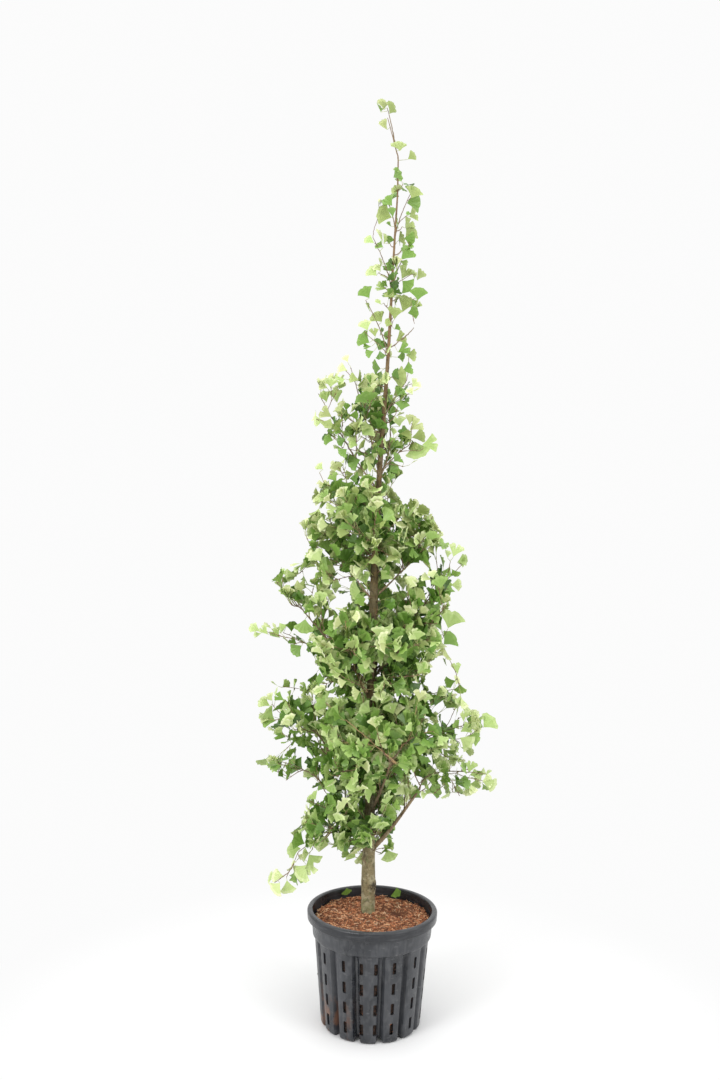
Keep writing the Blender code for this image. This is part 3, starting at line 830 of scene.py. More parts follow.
scar = both_masks(trunk_finish, scar, patches(trunk_finish, (190.0, 190.0, 150.0), 0.32, 0.50))
over(trunk_finish, scar, (0.035, 0.026, 0.016), 0.9)
bumps(trunk_finish, patches(trunk_finish, (260.0, 260.0, 150.0), 0.3, 0.7, 5.0), 0.0008)
trunk.data.materials.append(trunk_finish)
ride(trunk, "bark", "trunk")


# Boughs. The main side limbs of the young tree, each one tapering from a collar on the trunk, or from a fork,
# to where its leaves begin. Their bark is thinner and browner than the trunk's, with a ring at every old bud.
BOUGH_SIDES = 14
BOUGH_ROW = 0.004
BOUGH_PATCHES = (
    ((160.0, 160.0, 70.0), 0.42, 0.60, 4.0, (0.15, 0.095, 0.052), 0.7),
    ((60.0, 60.0, 60.0), 0.55, 0.66, 4.0, (0.42, 0.36, 0.24), 0.5),
)

bough_finish = new_finish("bough_bark", (0.30, 0.215, 0.125), 0.8)
lay_patches(bough_finish, BOUGH_PATCHES)
bumps(bough_finish, patches(bough_finish, (420.0, 420.0, 160.0), 0.3, 0.7, 4.0), 0.0006)


def carrier_of(node):
    """The nearest point to a bough's foot on the middle line of the trunk or of another bough."""
    foot = bough_lines[node][0][0]
    lines = [trunk_line, *(line for name, line in bough_lines.items() if name != node)]
    return min((place for line in lines for place, _ in line), key=lambda place: (place - foot).length)


def bough_relief(place, out, radius, share):
    """The lie of a bough's bark: furrows, a ring at every old bud and a collar at its foot."""
    furrow = noise.noise(Vector((place.x * 260, place.y * 260, place.z * 70)))
    ring = math.sin(place.length * 330) ** 8
    collar = 0.45 * radius * math.exp(-share / 0.05)
    return 0.06 * radius * furrow + 0.07 * radius * ring + collar


for node in boughs:
    foot, thickness = bough_lines[node][0]
    line = [(carrier_of(node).lerp(foot, 0.3), thickness), *bough_lines[node]]
    reach = sum((b[0] - a[0]).length for a, b in zip(line, line[1:]))
    bough = bark_sleeve(node + "_bark", line, reach, BOUGH_SIDES, BOUGH_ROW, bough_relief)
    bough.data.materials.append(bough_finish)
    ride(bough, "bark", node)


# Shoots. From each bough's end, or from the trunk, a leading shoot runs to the far end of its mass of leaves.
# Side shoots leave it at narrow angles until no part of the mass is far from wood. Shorter shoots fill the
# room beside the trunk and the boughs. Old wood is grey-brown and this year's red-brown.
SHOOT_ROOM = 0.052
MOST_SHOOTS = 15
LEADER_Z = 2.60
AIRY_Z = 1.95
SHOOT_MARGIN = 0.012
LEADING_PULL = 0.30
SIDE_PULL = 0.18
CUT_FROM = 4
SPOTS_IN_MASS = 90
TRUNK_SHOOTS_FROM = 0.50
TRUNK_SHOOTS_TO = 2.56
SHOOT_SIDES = 6
SHOOT_STEP = 0.008
TIP_RADIUS = 0.0009
GOLDEN_TURN = math.radians(137.5)
# A height, and how far left and right the crown reaches there as the camera sees it.
OUTLINE = (
    (0.375, -0.305, -0.225), (0.390, -0.322, -0.222), (0.430, -0.322, -0.200), (0.450, -0.322, -0.165),
    (0.462, -0.262, -0.165), (0.468, -0.250, 0.000), (0.490, -0.245, 0.005), (0.505, -0.268, 0.050),
    (0.515, -0.268, 0.085), (0.535, -0.262, 0.085), (0.550, -0.255, 0.070), (0.572, -0.250, 0.066),
    (0.582, -0.218, 0.064), (0.610, -0.230, 0.072), (0.640, -0.220, 0.080), (0.655, -0.205, 0.098),
    (0.670, -0.205, 0.158), (0.682, -0.208, 0.272), (0.700, -0.210, 0.345), (0.715, -0.232, 0.366),
    (0.725, -0.298, 0.366), (0.750, -0.305, 0.366), (0.765, -0.345, 0.345), (0.785, -0.370, 0.325),
    (0.798, -0.360, 0.285), (0.808, -0.250, 0.268), (0.825, -0.275, 0.285), (0.845, -0.312, 0.310),
    (0.870, -0.315, 0.325), (0.895, -0.348, 0.345), (0.925, -0.358, 0.370), (0.945, -0.355, 0.330),
    (0.960, -0.358, 0.290), (0.985, -0.360, 0.236), (1.000, -0.305, 0.275), (1.020, -0.325, 0.276),
    (1.035, -0.300, 0.262), (1.042, -0.185, 0.252), (1.060, -0.168, 0.252), (1.080, -0.190, 0.252),
    (1.098, -0.215, 0.235), (1.108, -0.255, 0.216), (1.120, -0.272, 0.208), (1.140, -0.255, 0.215),
    (1.155, -0.285, 0.245), (1.168, -0.360, 0.247), (1.185, -0.392, 0.232), (1.205, -0.388, 0.240),
    (1.212, -0.275, 0.246), (1.222, -0.235, 0.248), (1.240, -0.245, 0.248), (1.258, -0.220, 0.245),
    (1.275, -0.250, 0.226), (1.300, -0.292, 0.226), (1.330, -0.322, 0.256), (1.355, -0.338, 0.242),
    (1.382, -0.320, 0.236), (1.392, -0.225, 0.250), (1.415, -0.222, 0.276), (1.450, -0.205, 0.256),
    (1.462, -0.230, 0.208), (1.485, -0.205, 0.200), (1.510, -0.245, 0.185), (1.530, -0.218, 0.168),
    (1.550, -0.175, 0.166), (1.580, -0.208, 0.132), (1.612, -0.208, 0.072), (1.628, -0.196, 0.050),
    (1.645, -0.185, 0.044), (1.655, -0.140, 0.060), (1.675, -0.175, 0.092), (1.690, -0.206, 0.084),
    (1.704, -0.200, 0.104), (1.714, -0.115, 0.146), (1.735, -0.140, 0.146), (1.755, -0.182, 0.180),
    (1.778, -0.175, 0.184), (1.795, -0.168, 0.142), (1.815, -0.208, 0.132), (1.850, -0.205, 0.112),
    (1.862, -0.192, 0.080), (1.890, -0.178, 0.086), (1.910, -0.192, 0.096), (1.930, -0.185, 0.125),
    (1.955, -0.200, 0.120), (1.972, -0.150, 0.098), (2.005, -0.146, 0.096), (2.028, -0.128, 0.108),
    (2.045, -0.090, 0.106), (2.065, -0.080, 0.078), (2.085, -0.084, 0.070), (2.105, -0.058, 0.052),
    (2.130, -0.074, 0.050), (2.155, -0.060, 0.100), (2.170, -0.056, 0.115), (2.195, -0.060, 0.150),
    (2.215, -0.082, 0.136), (2.245, -0.074, 0.100), (2.262, -0.040, 0.104), (2.285, -0.052, 0.126),
    (2.305, -0.048, 0.085), (2.325, -0.010, 0.100), (2.352, -0.004, 0.104), (2.368, -0.034, 0.102),
    (2.392, -0.062, 0.098), (2.412, -0.034, 0.096), (2.430, -0.002, 0.096), (2.450, -0.034, 0.102),
    (2.475, -0.024, 0.108), (2.490, -0.014, 0.092), (2.502, -0.016, 0.118), (2.514, -0.008, 0.112),
    (2.530, 0.018, 0.104), (2.552, 0.022, 0.098), (2.562, 0.024, 0.060), (2.590, 0.026, 0.056),
    (2.615, 0.030, 0.068), (2.630, 0.030, 0.104), (2.652, 0.016, 0.096), (2.664, 0.012, 0.062),
    (2.685, 0.014, 0.060), (2.700, 0.016, 0.045), (2.718, -0.028, 0.022), (2.745, -0.030, 0.026),
    (2.762, -0.026, 0.046), (2.780, -0.026, 0.040), (2.800, -0.024, 0.036), (2.820, -0.012, 0.012),
)
# Gaps that show what's behind the crown: x, z and reach.
SKY_GAPS = np.array((
    (-0.225, 0.480, 0.012), (-0.140, 0.480, 0.030), (-0.136, 0.515, 0.018), (-0.140, 0.541, 0.016),
    (-0.110, 0.492, 0.016), (0.030, 0.548, 0.011), (0.055, 0.500, 0.020), (0.028, 0.636, 0.019),
    (-0.157, 0.648, 0.011), (-0.183, 0.662, 0.010), (-0.147, 0.612, 0.012), (-0.147, 0.575, 0.012),
    (0.065, 0.745, 0.012), (0.122, 0.745, 0.013), (0.145, 0.722, 0.011), (-0.096, 0.785, 0.013),
    (0.305, 0.805, 0.020), (-0.098, 0.828, 0.012), (-0.105, 0.866, 0.009), (-0.137, 0.860, 0.007),
    (-0.170, 0.955, 0.013), (-0.168, 0.926, 0.011), (-0.193, 0.918, 0.011), (0.170, 0.885, 0.018),
    (0.176, 0.925, 0.018), (0.178, 0.962, 0.018), (0.218, 0.955, 0.024), (0.215, 0.918, 0.020),
    (0.245, 0.928, 0.014), (0.190, 1.005, 0.012), (0.176, 1.035, 0.024), (0.187, 1.076, 0.022),
    (0.215, 1.058, 0.014), (0.215, 1.120, 0.010), (-0.225, 1.117, 0.010), (-0.276, 1.185, 0.011),
    (0.197, 1.190, 0.012), (0.193, 1.215, 0.009), (-0.118, 1.322, 0.018), (-0.098, 1.282, 0.019),
    (-0.115, 1.262, 0.010), (-0.137, 1.287, 0.009), (-0.052, 1.286, 0.012), (-0.205, 1.362, 0.021),
    (-0.138, 1.370, 0.015), (-0.165, 1.322, 0.006), (0.105, 1.372, 0.018), (0.133, 1.383, 0.018),
    (0.176, 1.398, 0.020), (0.180, 1.430, 0.018), (-0.085, 1.465, 0.009), (-0.168, 1.503, 0.014),
    (-0.200, 1.475, 0.010), (0.028, 1.548, 0.013), (0.030, 1.588, 0.010), (0.130, 1.560, 0.011),
    (0.085, 1.600, 0.014), (-0.070, 1.613, 0.008), (-0.090, 1.552, 0.008), (-0.085, 1.672, 0.014),
    (-0.060, 1.668, 0.010), (-0.112, 1.674, 0.011), (-0.160, 1.705, 0.010), (-0.125, 1.722, 0.012),
    (0.050, 1.702, 0.009), (0.076, 1.735, 0.010), (0.125, 1.776, 0.009), (0.043, 1.784, 0.014),
    (-0.038, 1.758, 0.012), (-0.045, 1.788, 0.010), (-0.098, 1.828, 0.015), (-0.118, 1.814, 0.009),
    (0.100, 1.880, 0.015), (0.056, 1.905, 0.009), (-0.112, 1.905, 0.010), (-0.008, 1.990, 0.014),
    (-0.012, 2.018, 0.010), (-0.045, 1.990, 0.012), (-0.092, 2.008, 0.010), (0.045, 2.005, 0.017),
    (0.040, 2.040, 0.008), (-0.012, 2.122, 0.012), (-0.012, 2.175, 0.012), (-0.022, 2.225, 0.013),
    (0.008, 2.285, 0.012), (-0.015, 2.262, 0.011), (0.002, 2.340, 0.015),
    (0.092, 2.310, 0.008), (0.002, 2.425, 0.014), (0.095, 2.480, 0.010), (0.008, 2.532, 0.012),
))
SEEN_TRUNK = ((0.300, 0.470), (1.245, 1.368), (1.640, 1.685))
SEEN_BOUGHS = ("right_low", "left_tip", "front_fork", "front_left_arm", "front_right_arm",
               "left_1_4", "right_1_5")
SEEN_SHOOTS = (
    ("left_low", 0.45), ("left_tip", 0.60), ("front_left_arm", 0.80),
    ("front_right_arm", 0.50), ("front_1_0", 0.60), ("front_right_1_1", 0.50), ("left_1_3", 0.55),
    ("left_1_8", 0.40), ("right_1_8", 0.30), ("right_low", 0.25), ("left_mid", 0.30),
)
GOLDEN_MASSES = ("leaves_front_left_arm", "leaves_front_right_arm", "leaves_front_1_0")
PALE_MASSES = ("leaves_left_tip", "leaves_tip_tuft")
# Tips of the twigs that stand out of the crown: x, y, z and how pale their leaves are.
PLACED_TIPS = (
    (-0.264, 0.012, 0.426, 1.0), (-0.228, 0.012, 0.492, 0.9),
    (-0.185, 0.000, 0.520, 0.3), (-0.210, 0.000, 0.535, 0.3),
    (-0.115, 0.000, 0.530, 0.4), (-0.035, -0.010, 0.500, 0.9), (-0.085, 0.010, 0.515, 0.5),
    (0.060, 0.000, 0.530, 0.6), (-0.205, 0.000, 0.600, 0.5), (-0.200, 0.000, 0.640, 0.4),
    (0.334, 0.000, 0.733, 1.0), (0.288, 0.000, 0.742, 0.9), (0.240, 0.000, 0.700, 0.5),
    (0.315, 0.000, 0.892, 0.9), (0.272, 0.000, 0.902, 0.9), (0.258, 0.000, 0.850, 0.7),
    (0.285, 0.000, 0.866, 1.0), (-0.315, 0.000, 0.958, 1.0), (-0.290, 0.010, 1.008, 0.9),
    (-0.302, 0.000, 0.910, 0.9), (-0.268, 0.000, 0.860, 0.7),
    (-0.245, 0.000, 1.020, 0.5), (-0.195, 0.010, 1.015, 0.8), (0.255, 0.000, 1.020, 0.7),
    (0.222, 0.000, 1.105, 0.4), (0.215, 0.000, 0.990, 0.4), (0.247, 0.010, 1.057, 0.6),
    (0.257, 0.000, 1.028, 0.6), (-0.255, 0.000, 1.160, 0.5),
    (-0.345, 0.000, 1.180, 1.0), (-0.297, 0.000, 1.168, 0.9), (-0.275, 0.000, 1.162, 0.4),
    (0.205, 0.000, 1.140, 0.5), (0.215, 0.000, 1.190, 0.7), (-0.225, 0.000, 1.238, 0.3),
    (-0.150, -0.010, 1.255, 0.5),
    (-0.155, 0.000, 1.290, 0.5), (-0.080, 0.000, 1.312, 0.2), (-0.165, 0.020, 1.335, 0.6),
    (-0.290, 0.000, 1.360, 0.8), (-0.310, 0.000, 1.335, 0.7), (-0.235, 0.010, 1.362, 0.3),
    (0.218, 0.000, 1.318, 0.9), (0.218, 0.000, 1.380, 0.6), (-0.205, 0.000, 1.400, 0.9),
    (-0.165, 0.000, 1.410, 0.8), (0.222, 0.000, 1.402, 0.7),
    (-0.215, 0.000, 1.462, 0.9), (0.188, 0.000, 1.470, 0.6), (-0.160, 0.000, 1.480, 0.5),
    (-0.235, 0.000, 1.508, 0.9), (-0.200, 0.000, 1.510, 1.0), (0.165, 0.000, 1.495, 0.7),
    (0.150, 0.000, 1.555, 0.5), (0.100, 0.000, 1.580, 0.6), (-0.190, 0.010, 1.580, 0.7),
    (-0.195, 0.000, 1.605, 0.9), (-0.130, 0.000, 1.620, 0.9), (-0.175, 0.000, 1.638, 1.0),
    (0.040, 0.000, 1.600, 0.4), (0.070, 0.000, 1.690, 0.4), (0.085, 0.000, 1.672, 0.5),
    (-0.190, 0.000, 1.690, 0.6), (-0.132, 0.000, 1.695, 0.4), (0.120, 0.000, 1.730, 0.7),
    (0.155, 0.000, 1.765, 0.7), (-0.165, 0.000, 1.775, 0.2), (0.120, 0.000, 1.795, 0.5),
    (0.105, 0.000, 1.835, 0.6), (-0.195, 0.000, 1.830, 1.0), (0.072, 0.000, 1.880, 0.5),
    (-0.175, 0.000, 1.910, 0.8), (-0.138, 0.000, 1.905, 0.6), (-0.155, 0.000, 1.948, 0.9),
    (0.108, 0.000, 1.945, 1.0), (0.085, 0.000, 1.990, 0.4), (-0.130, 0.000, 2.000, 1.0),
    (0.085, 0.000, 2.040, 0.4), (-0.070, 0.000, 2.078, 0.3), (-0.058, 0.000, 2.135, 0.8),
    (-0.064, 0.000, 2.225, 0.6), (0.115, 0.000, 2.225, 0.6), (0.095, 0.000, 2.170, 0.4),
    (-0.038, 0.000, 2.285, 0.8), (0.112, 0.000, 2.280, 0.9), (0.085, 0.000, 2.340, 0.2),
    (-0.048, 0.000, 2.385, 0.8), (0.075, 0.000, 2.410, 0.3), (-0.015, 0.000, 2.455, 0.6),
    (0.085, 0.000, 2.465, 0.2), (0.000, 0.000, 2.502, 0.5), (0.092, 0.000, 2.520, 0.4),
    (0.040, 0.000, 2.570, 0.2),
)

draw = random.Random(23)


def any_way():
    """A direction at random."""
    return Vector((draw.gauss(0, 1), draw.gauss(0, 1), draw.gauss(0, 1))).normalized()


outline_heights, outline_lefts, outline_rights = np.array(OUTLINE).T


def in_view(place):
    """Where the camera sees a place, as x and z in the upright plane through the middle of the pot."""
    share = -CAMERA_PLACE[1] / (place.y - CAMERA_PLACE[1])
    return (
        CAMERA_PLACE[0] + (place.x - CAMERA_PLACE[0]) * share,
        CAMERA_PLACE[2] + (place.z - CAMERA_PLACE[2]) * share,
    )


def beyond_outline(place):
    """True for a place that the camera sees outside the crown."""
    x, z = in_view(place)
    left = np.interp(z, outline_heights, outline_lefts)
    right = np.interp(z, outline_heights, outline_rights)
    return bool(x < left or x > right or z < outline_heights[0] or z > outline_heights[-1])


def closes_gap(place):
    """True for a place that the camera sees outside the crown or where sky shows through it."""
    if beyond_outline(place):
        return True
    x, z = in_view(place)
    uneven = 1 + 0.5 * noise.noise(Vector((x, z, 0.0)) * 55)
    return bool((np.hypot(SKY_GAPS[:, 0] - x, SKY_GAPS[:, 1] - z) < SKY_GAPS[:, 2] * uneven).any())


def signed_depth(surface, place):
    """How far a place lies outside a closed solid, or below 0 inside it."""
    nearest, normal, _, gap = surface.find_nearest(place)
    return gap if (place - nearest).dot(normal) > 0 else -gap


def curved(start, middle, end, step=SHOOT_STEP):
    """Points on a smooth bend from start to end, pulled towards the middle one, with a slight unevenness."""
    count = max(3, round((end - start).length / step))
    points = []
    for place in range(count + 1):
        s = place / count
        point = start * (1 - s) ** 2 + middle * 2 * s * (1 - s) + end * s * s
        if 0 < place < count:
            point = point + any_way() * draw.uniform(0, step * 0.20)
        points.append(point)
    return points


def random_inside(surface, low, high, count):
    """Places spread at random through a closed solid."""
    found = []
    while len(found) < count:
        place = Vector(draw.uniform(a, b) for a, b in zip(low, high))
        if signed_depth(surface, place) < 0:
            found.append(place)
    return found


def tapered(points, radius):
    """The radii of a shoot that thins from its foot to its tip."""
    count = len(points) - 1
    return [radius + (TIP_RADIUS - radius) * (place / count) ** 0.8 for place in range(count + 1)]


class Shoot:
    """A shoot: its points and radii, the wood that it leaves and where, and how much of it is leafy."""

    def __init__(self, points, radii, parent=None, at=0):
        self.points = points
        self.radii = radii
        self.parent = parent
        self.at = at
        self.kept = 0

    def keep(self, at):
        """Keeps the shoot up to a point, and the wood below it."""
        self.kept = max(self.kept, at)
        if self.parent is not None:
            self.parent.keep(self.at)


def leading_shoot(mass):
    """The shoot that runs through a mass, from the end of its bough or from the trunk."""
    bough = mass.replace("leaves_", "bough_")
    places = [v.co for v in frame["nodes"][mass].data.vertices]
    if bough in bough_lines:
        start, radius = bough_lines[bough][-1]
        way = (start - bough_lines[bough][-3][0]).normalized()
    else:
        near_end, _ = rough_ends(mass)
        start, _ = trunk_at(max(near_end.z - 0.02, trunk_low.z + 0.12))
        radius = 0.0022
        way = ((near_end - start).normalized() + UP * 0.3).normalized()
    far = max(places, key=lambda place: (place - start).length)
    end = far + (start - far).normalized() * SHOOT_MARGIN
    reach = (end - start).length
    radius = max(radius, 0.0012 + 0.006 * reach)
    points = curved(start, start + way * reach * LEADING_PULL, end)
    return Shoot(points, tapered(points, radius))


def side_shoot(target, wood, surface):
    """A shoot to a place far from wood, from the point that it leaves at the narrowest angle. Inside a mass
    it goes on towards the mass's surface, and it ends where it would stand out of the crown."""
    best = None
    for old in wood:
        points = old.points
        for at in range(1, len(points) - 1, 2):
            way = (points[at + 1] - points[at - 1]).normalized()
            gap = target - points[at]
            cost = gap.length + 0.10 * (1 - gap.normalized().dot(way)) + 0.25 * max(0.0, -gap.z)
            if best is None or cost < best[0]:
                best = (cost, old, at, way)
    _, parent, at, way = best
    start = parent.points[at]
    reach = (target - start).length
    end = target
    if surface is not None:
        onward = (target - start).normalized()
        room = surface.ray_cast(target, onward)[3] or 0.0
        end = target + onward * max(0.0, room - SHOOT_MARGIN) + UP * 0.010
    radius = min(parent.radii[at] * 0.75, 0.0011 + 0.006 * reach)
    points = curved(start, start + way * reach * SIDE_PULL, end)
    if surface is not None:
        outside = [step for step in range(CUT_FROM, len(points)) if beyond_outline(points[step])]
        points = points[:outside[0]] if outside else points
    return Shoot(points, tapered(points, radius), parent, at)


def grow(mass):
    """All the shoots of one mass, the leading one first."""
    surface = surface_of(mass)
    low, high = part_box(mass)
    wood = [leading_shoot(mass)]
    unserved = random_inside(surface, low, high, SPOTS_IN_MASS)

    def far_from_wood(place):
        return min((place - point).length for shoot in wood for point in shoot.points[::2])

    for _ in range(0 if low.z > LEADER_Z else MOST_SHOOTS):
        target = max(unserved, key=far_from_wood)
        if far_from_wood(target) < SHOOT_ROOM:
            break
        wood.append(side_shoot(target, wood, surface))
    return wood


crown_places = []
crown_faces = []
for mass in masses:
    mesh = frame["nodes"][mass].data
    first = len(crown_places)
    crown_places += [v.co for v in mesh.vertices]
    crown_faces += [[first + corner for corner in p.vertices] for p in mesh.polygons]
crown_surface = BVHTree.FromPolygons(crown_places, crown_faces)


def filler(start, out, reach, radius):
    """A short shoot that leaves old wood sideways and turns upwards."""
    end = start + out * reach * 0.75 + UP * reach * draw.uniform(0.45, 0.85)
    points = curved(start, start + out * reach * 0.5, end)
    return Shoot(points, tapered(points, radius))


def trunk_fillers():
    """Short shoots all round the trunk, as long as the crown is wide there."""
    found = []
    height = TRUNK_SHOOTS_FROM
    turn = 1.0
    while height < TRUNK_SHOOTS_TO:
        centre, thickness = trunk_at(height)
        out = Vector((math.cos(turn), math.sin(turn), 0.0))
        high_start = centre + UP * 0.05
        edge = crown_surface.ray_cast(high_start + out * 0.6, -out, 0.6)[0]
        room = (edge - high_start).length if edge is not None else 0.07
        reach = min(max(room * draw.uniform(0.45, 0.80), 0.045), 0.17)
        if height > AIRY_Z:
            reach *= 0.6
        shoot = filler(centre + out * thickness * 0.7, out, reach, 0.0014 + 0.006 * reach)
        if not closes_gap(shoot.points[-1]):
            found.append(shoot)
        height += draw.uniform(0.020, 0.034)
        turn += GOLDEN_TURN + draw.gauss(0, 0.3)
    return found


def bough_fillers(node):
    """Short shoots along a bough, turning round it from one to the next."""
    line = bough_lines[node]
    length = (line[-1][0] - line[0][0]).length
    found = []
    walked = 0.07
    turn = draw.uniform(0, 2 * math.pi)
    while walked < length:
        centre, radius, way = along_line(line, walked / length)
        side = Matrix.Rotation(turn, 3, way) @ way.orthogonal().normalized()
        out = (side + way * 0.5 + UP * 0.3).normalized()
        shoot = filler(centre, out, draw.uniform(0.05, 0.10), 0.0018)
        if not closes_gap(shoot.points[-1]):
            found.append(shoot)
        walked += draw.uniform(0.022, 0.038)
        turn += GOLDEN_TURN + draw.gauss(0, 0.4)
    return found


shoots = {mass: grow(mass) for mass in masses}
side_wood = trunk_fillers()
for node in boughs:
    side_wood += bough_fillers(node)
limbs = [Shoot([place for place, _ in line], [radius for _, radius in line])
         for line in (trunk_line, *bough_lines.values())]
all_wood = [*limbs, *(shoot for wood in shoots.values() for shoot in wood)]
placed_wood = []
for *tip, spray in sorted(PLACED_TIPS, key=lambda row: abs(row[0])):
    carriers = [*all_wood, *(shoot for shoot, _ in placed_wood)]
    placed_wood.append((side_shoot(Vector(tip), carriers, None), spray))
all_shoots = [*all_wood[len(limbs):], *side_wood, *(shoot for shoot, _ in placed_wood)]


def tube_arrays(points, radii, sides, knuckles=True):
    """The points and four-sided faces of one shoot's tube."""
    rings = []
    across = None
    for at, (point, radius) in enumerate(zip(points, radii)):
        before, after = points[max(at - 1, 0)], points[min(at + 1, len(points) - 1)]
        way = (after - before).normalized()
        across = way.orthogonal() if across is None else across
        across = (across - way * across.dot(way)).normalized()
        level_side = way.cross(across)
        swollen = radius * (1.22 if knuckles and at % 2 else 1.0)
        for side in range(sides):
            turn = 2 * math.pi * side / sides
            rings.append(point + (across * math.cos(turn) + level_side * math.sin(turn)) * swollen)
    faces = []
    for row in range(len(points) - 1):
        for side in range(sides):
            here = row * sides
            beside = (side + 1) % sides
            faces.append((here + side, here + beside, here + sides + beside, here + sides + side))
    return np.array([ring[:] for ring in rings]), np.array(faces)


# Spurs. A ginkgo carries its leaves in tufts on stubby spurs, ringed with old bud scars, set all round each
# shoot. The trunk and the boughs carry a few too. Each spur is a short cone of new wood.
SPUR_SPACING = 0.0215
BOUGH_SPUR_SPACING = 0.024
TRUNK_SPUR_SPACING = 0.012
TRUNK_SPURS_FROM = 0.48
TRUNK_SPUR_STEPS = 120
OUTSIDE_LIMIT = 0.030
FILLER_LIMIT = 0.050


class Bud:
    """A place for a tuft: its shoot and how far along it, the ways out from and along it, youth and spray."""

    def __init__(self, shoot, at, place, side, way, youth, spray, limit, last=False):
        self.shoot = shoot
        self.at = at
        self.place = place
        self.side = side
        self.way = way
        self.youth = youth
        self.spray = spray
        self.limit = limit
        self.last = last


def buds_on(shoot, spacing, youths, spray, limit, first=0):
    """Buds turning round a shoot, from its foot to its tip."""
    found = []
    points = shoot.points[first:]
    turn = draw.uniform(0, 2 * math.pi)
    walked = draw.uniform(0.4, 1.1) * spacing
    total = sum((b - a).length for a, b in zip(points, points[1:]))
    passed = 0.0
    for at, (a, b) in enumerate(zip(points, points[1:])):
        length = (b - a).length
        way = (b - a).normalized()
        while walked < passed + length:
            side = Matrix.Rotation(turn, 3, way) @ way.orthogonal().normalized()
            youth = youths[0] + (youths[1] - youths[0]) * walked / total
            place = a.lerp(b, (walked - passed) / length)
            found.append(Bud(shoot, first + at + 1, place, side, way, youth, spray, limit))
            walked += spacing * draw.uniform(0.7, 1.3)
            turn += GOLDEN_TURN + draw.gauss(0, 0.3)
        passed += length
    way = (points[-1] - points[-2]).normalized()
    found.append(Bud(shoot, first + len(points) - 1, points[-1], way, way, youths[1], spray, limit, True))
    return found


buds = []
for mass, wood in shoots.items():
    for order, shoot in enumerate(wood):
        spray = 1.0 if mass in PALE_MASSES else draw.random() ** 1.4
        buds += buds_on(shoot, SPUR_SPACING, (0.15 if order == 0 else 0.30, 1.0), spray, OUTSIDE_LIMIT)
for shoot in side_wood:
    buds += buds_on(shoot, SPUR_SPACING, (0.10, 0.85), draw.random() ** 1.6, FILLER_LIMIT)
for shoot, spray in placed_wood:
    buds += buds_on(shoot, SPUR_SPACING, (0.30, 1.0), spray, FILLER_LIMIT, 2)
for limb in limbs[1:]:
    buds += buds_on(limb, BOUGH_SPUR_SPACING, (0.1, 0.3), draw.random(), FILLER_LIMIT, 4)
leafy = trunk_high.z - TRUNK_SPURS_FROM
upper = [
    trunk_at(TRUNK_SPURS_FROM + leafy * step / TRUNK_SPUR_STEPS)
    for step in range(TRUNK_SPUR_STEPS + 1)
]
upper_trunk = Shoot([centre for centre, _ in upper], [radius for _, radius in upper])
for bud in buds_on(upper_trunk, TRUNK_SPUR_SPACING, (0.1, 0.7), 0.5, FILLER_LIMIT):
    bud.place = bud.place + bud.side * (0.0 if bud.last else trunk_at(bud.place.z)[1])
    buds.append(bud)


# Leaves. Each is a fan on a long thin stalk: straight sides that open from the stalk, a wavy outer edge, and
# often a notch in its middle. Tufts deep inside the crown and near the trunk take darker greens and those
# further out paler ones, a painted shade and light; the young ones at the shoot tips are small and
# yellow-green with a pale edge.
LEAF_KINDS = 16
LEAF_SPOKES = 16
LEAF_RINGS = (0.42, 0.80, 1.0)
LEAF_REACH = (0.0285, 0.0435)
STALK_LENGTH = (0.014, 0.034)
LEAF_TRIES = 10
LEAF_ROUGHNESS = 0.44
STALK_SIDES = 3
SPUR_LENGTH = (0.003, 0.007)
SPUR_RADII = (0.0018, 0.0017, 0.0011)
SPUR_SIDES = 5
TRUNK_GAP = 0.006
SEEN_STEP = 0.008
BOX_MARGIN = 0.018
# Heights, and the share of the tufts that stay bare there.
AIRY_SHARES = ((1.60, 0.0), (1.75, 0.35), (2.05, 0.62))
# Greens from dark to pale, each with a paler edge colour. All are painted paler than the leaves' own, for the
# light that shines through them, and the ladder also carries painted shade and light.
LEAF_TINTS = (
    ("deep", (0.055, 0.125, 0.014), (0.066, 0.145, 0.018)),
    ("shaded", (0.098, 0.205, 0.026), (0.118, 0.235, 0.034)),
    ("green", (0.160, 0.295, 0.046), (0.190, 0.330, 0.060)),
    ("fresh", (0.240, 0.385, 0.080), (0.290, 0.435, 0.108)),
    ("bright", (0.350, 0.485, 0.145), (0.430, 0.550, 0.205)),
    ("light", (0.450, 0.570, 0.210), (0.570, 0.660, 0.320)),
    ("young", (0.570, 0.660, 0.290), (0.700, 0.755, 0.430)),
    ("olive_fresh", (0.285, 0.365, 0.105), (0.340, 0.420, 0.140)),
    ("olive_bright", (0.400, 0.465, 0.175), (0.480, 0.535, 0.240)),
    ("olive_light", (0.500, 0.555, 0.240), (0.620, 0.655, 0.360)),
)
PLAIN_TINTS = 7
OLIVE_FROM = 3


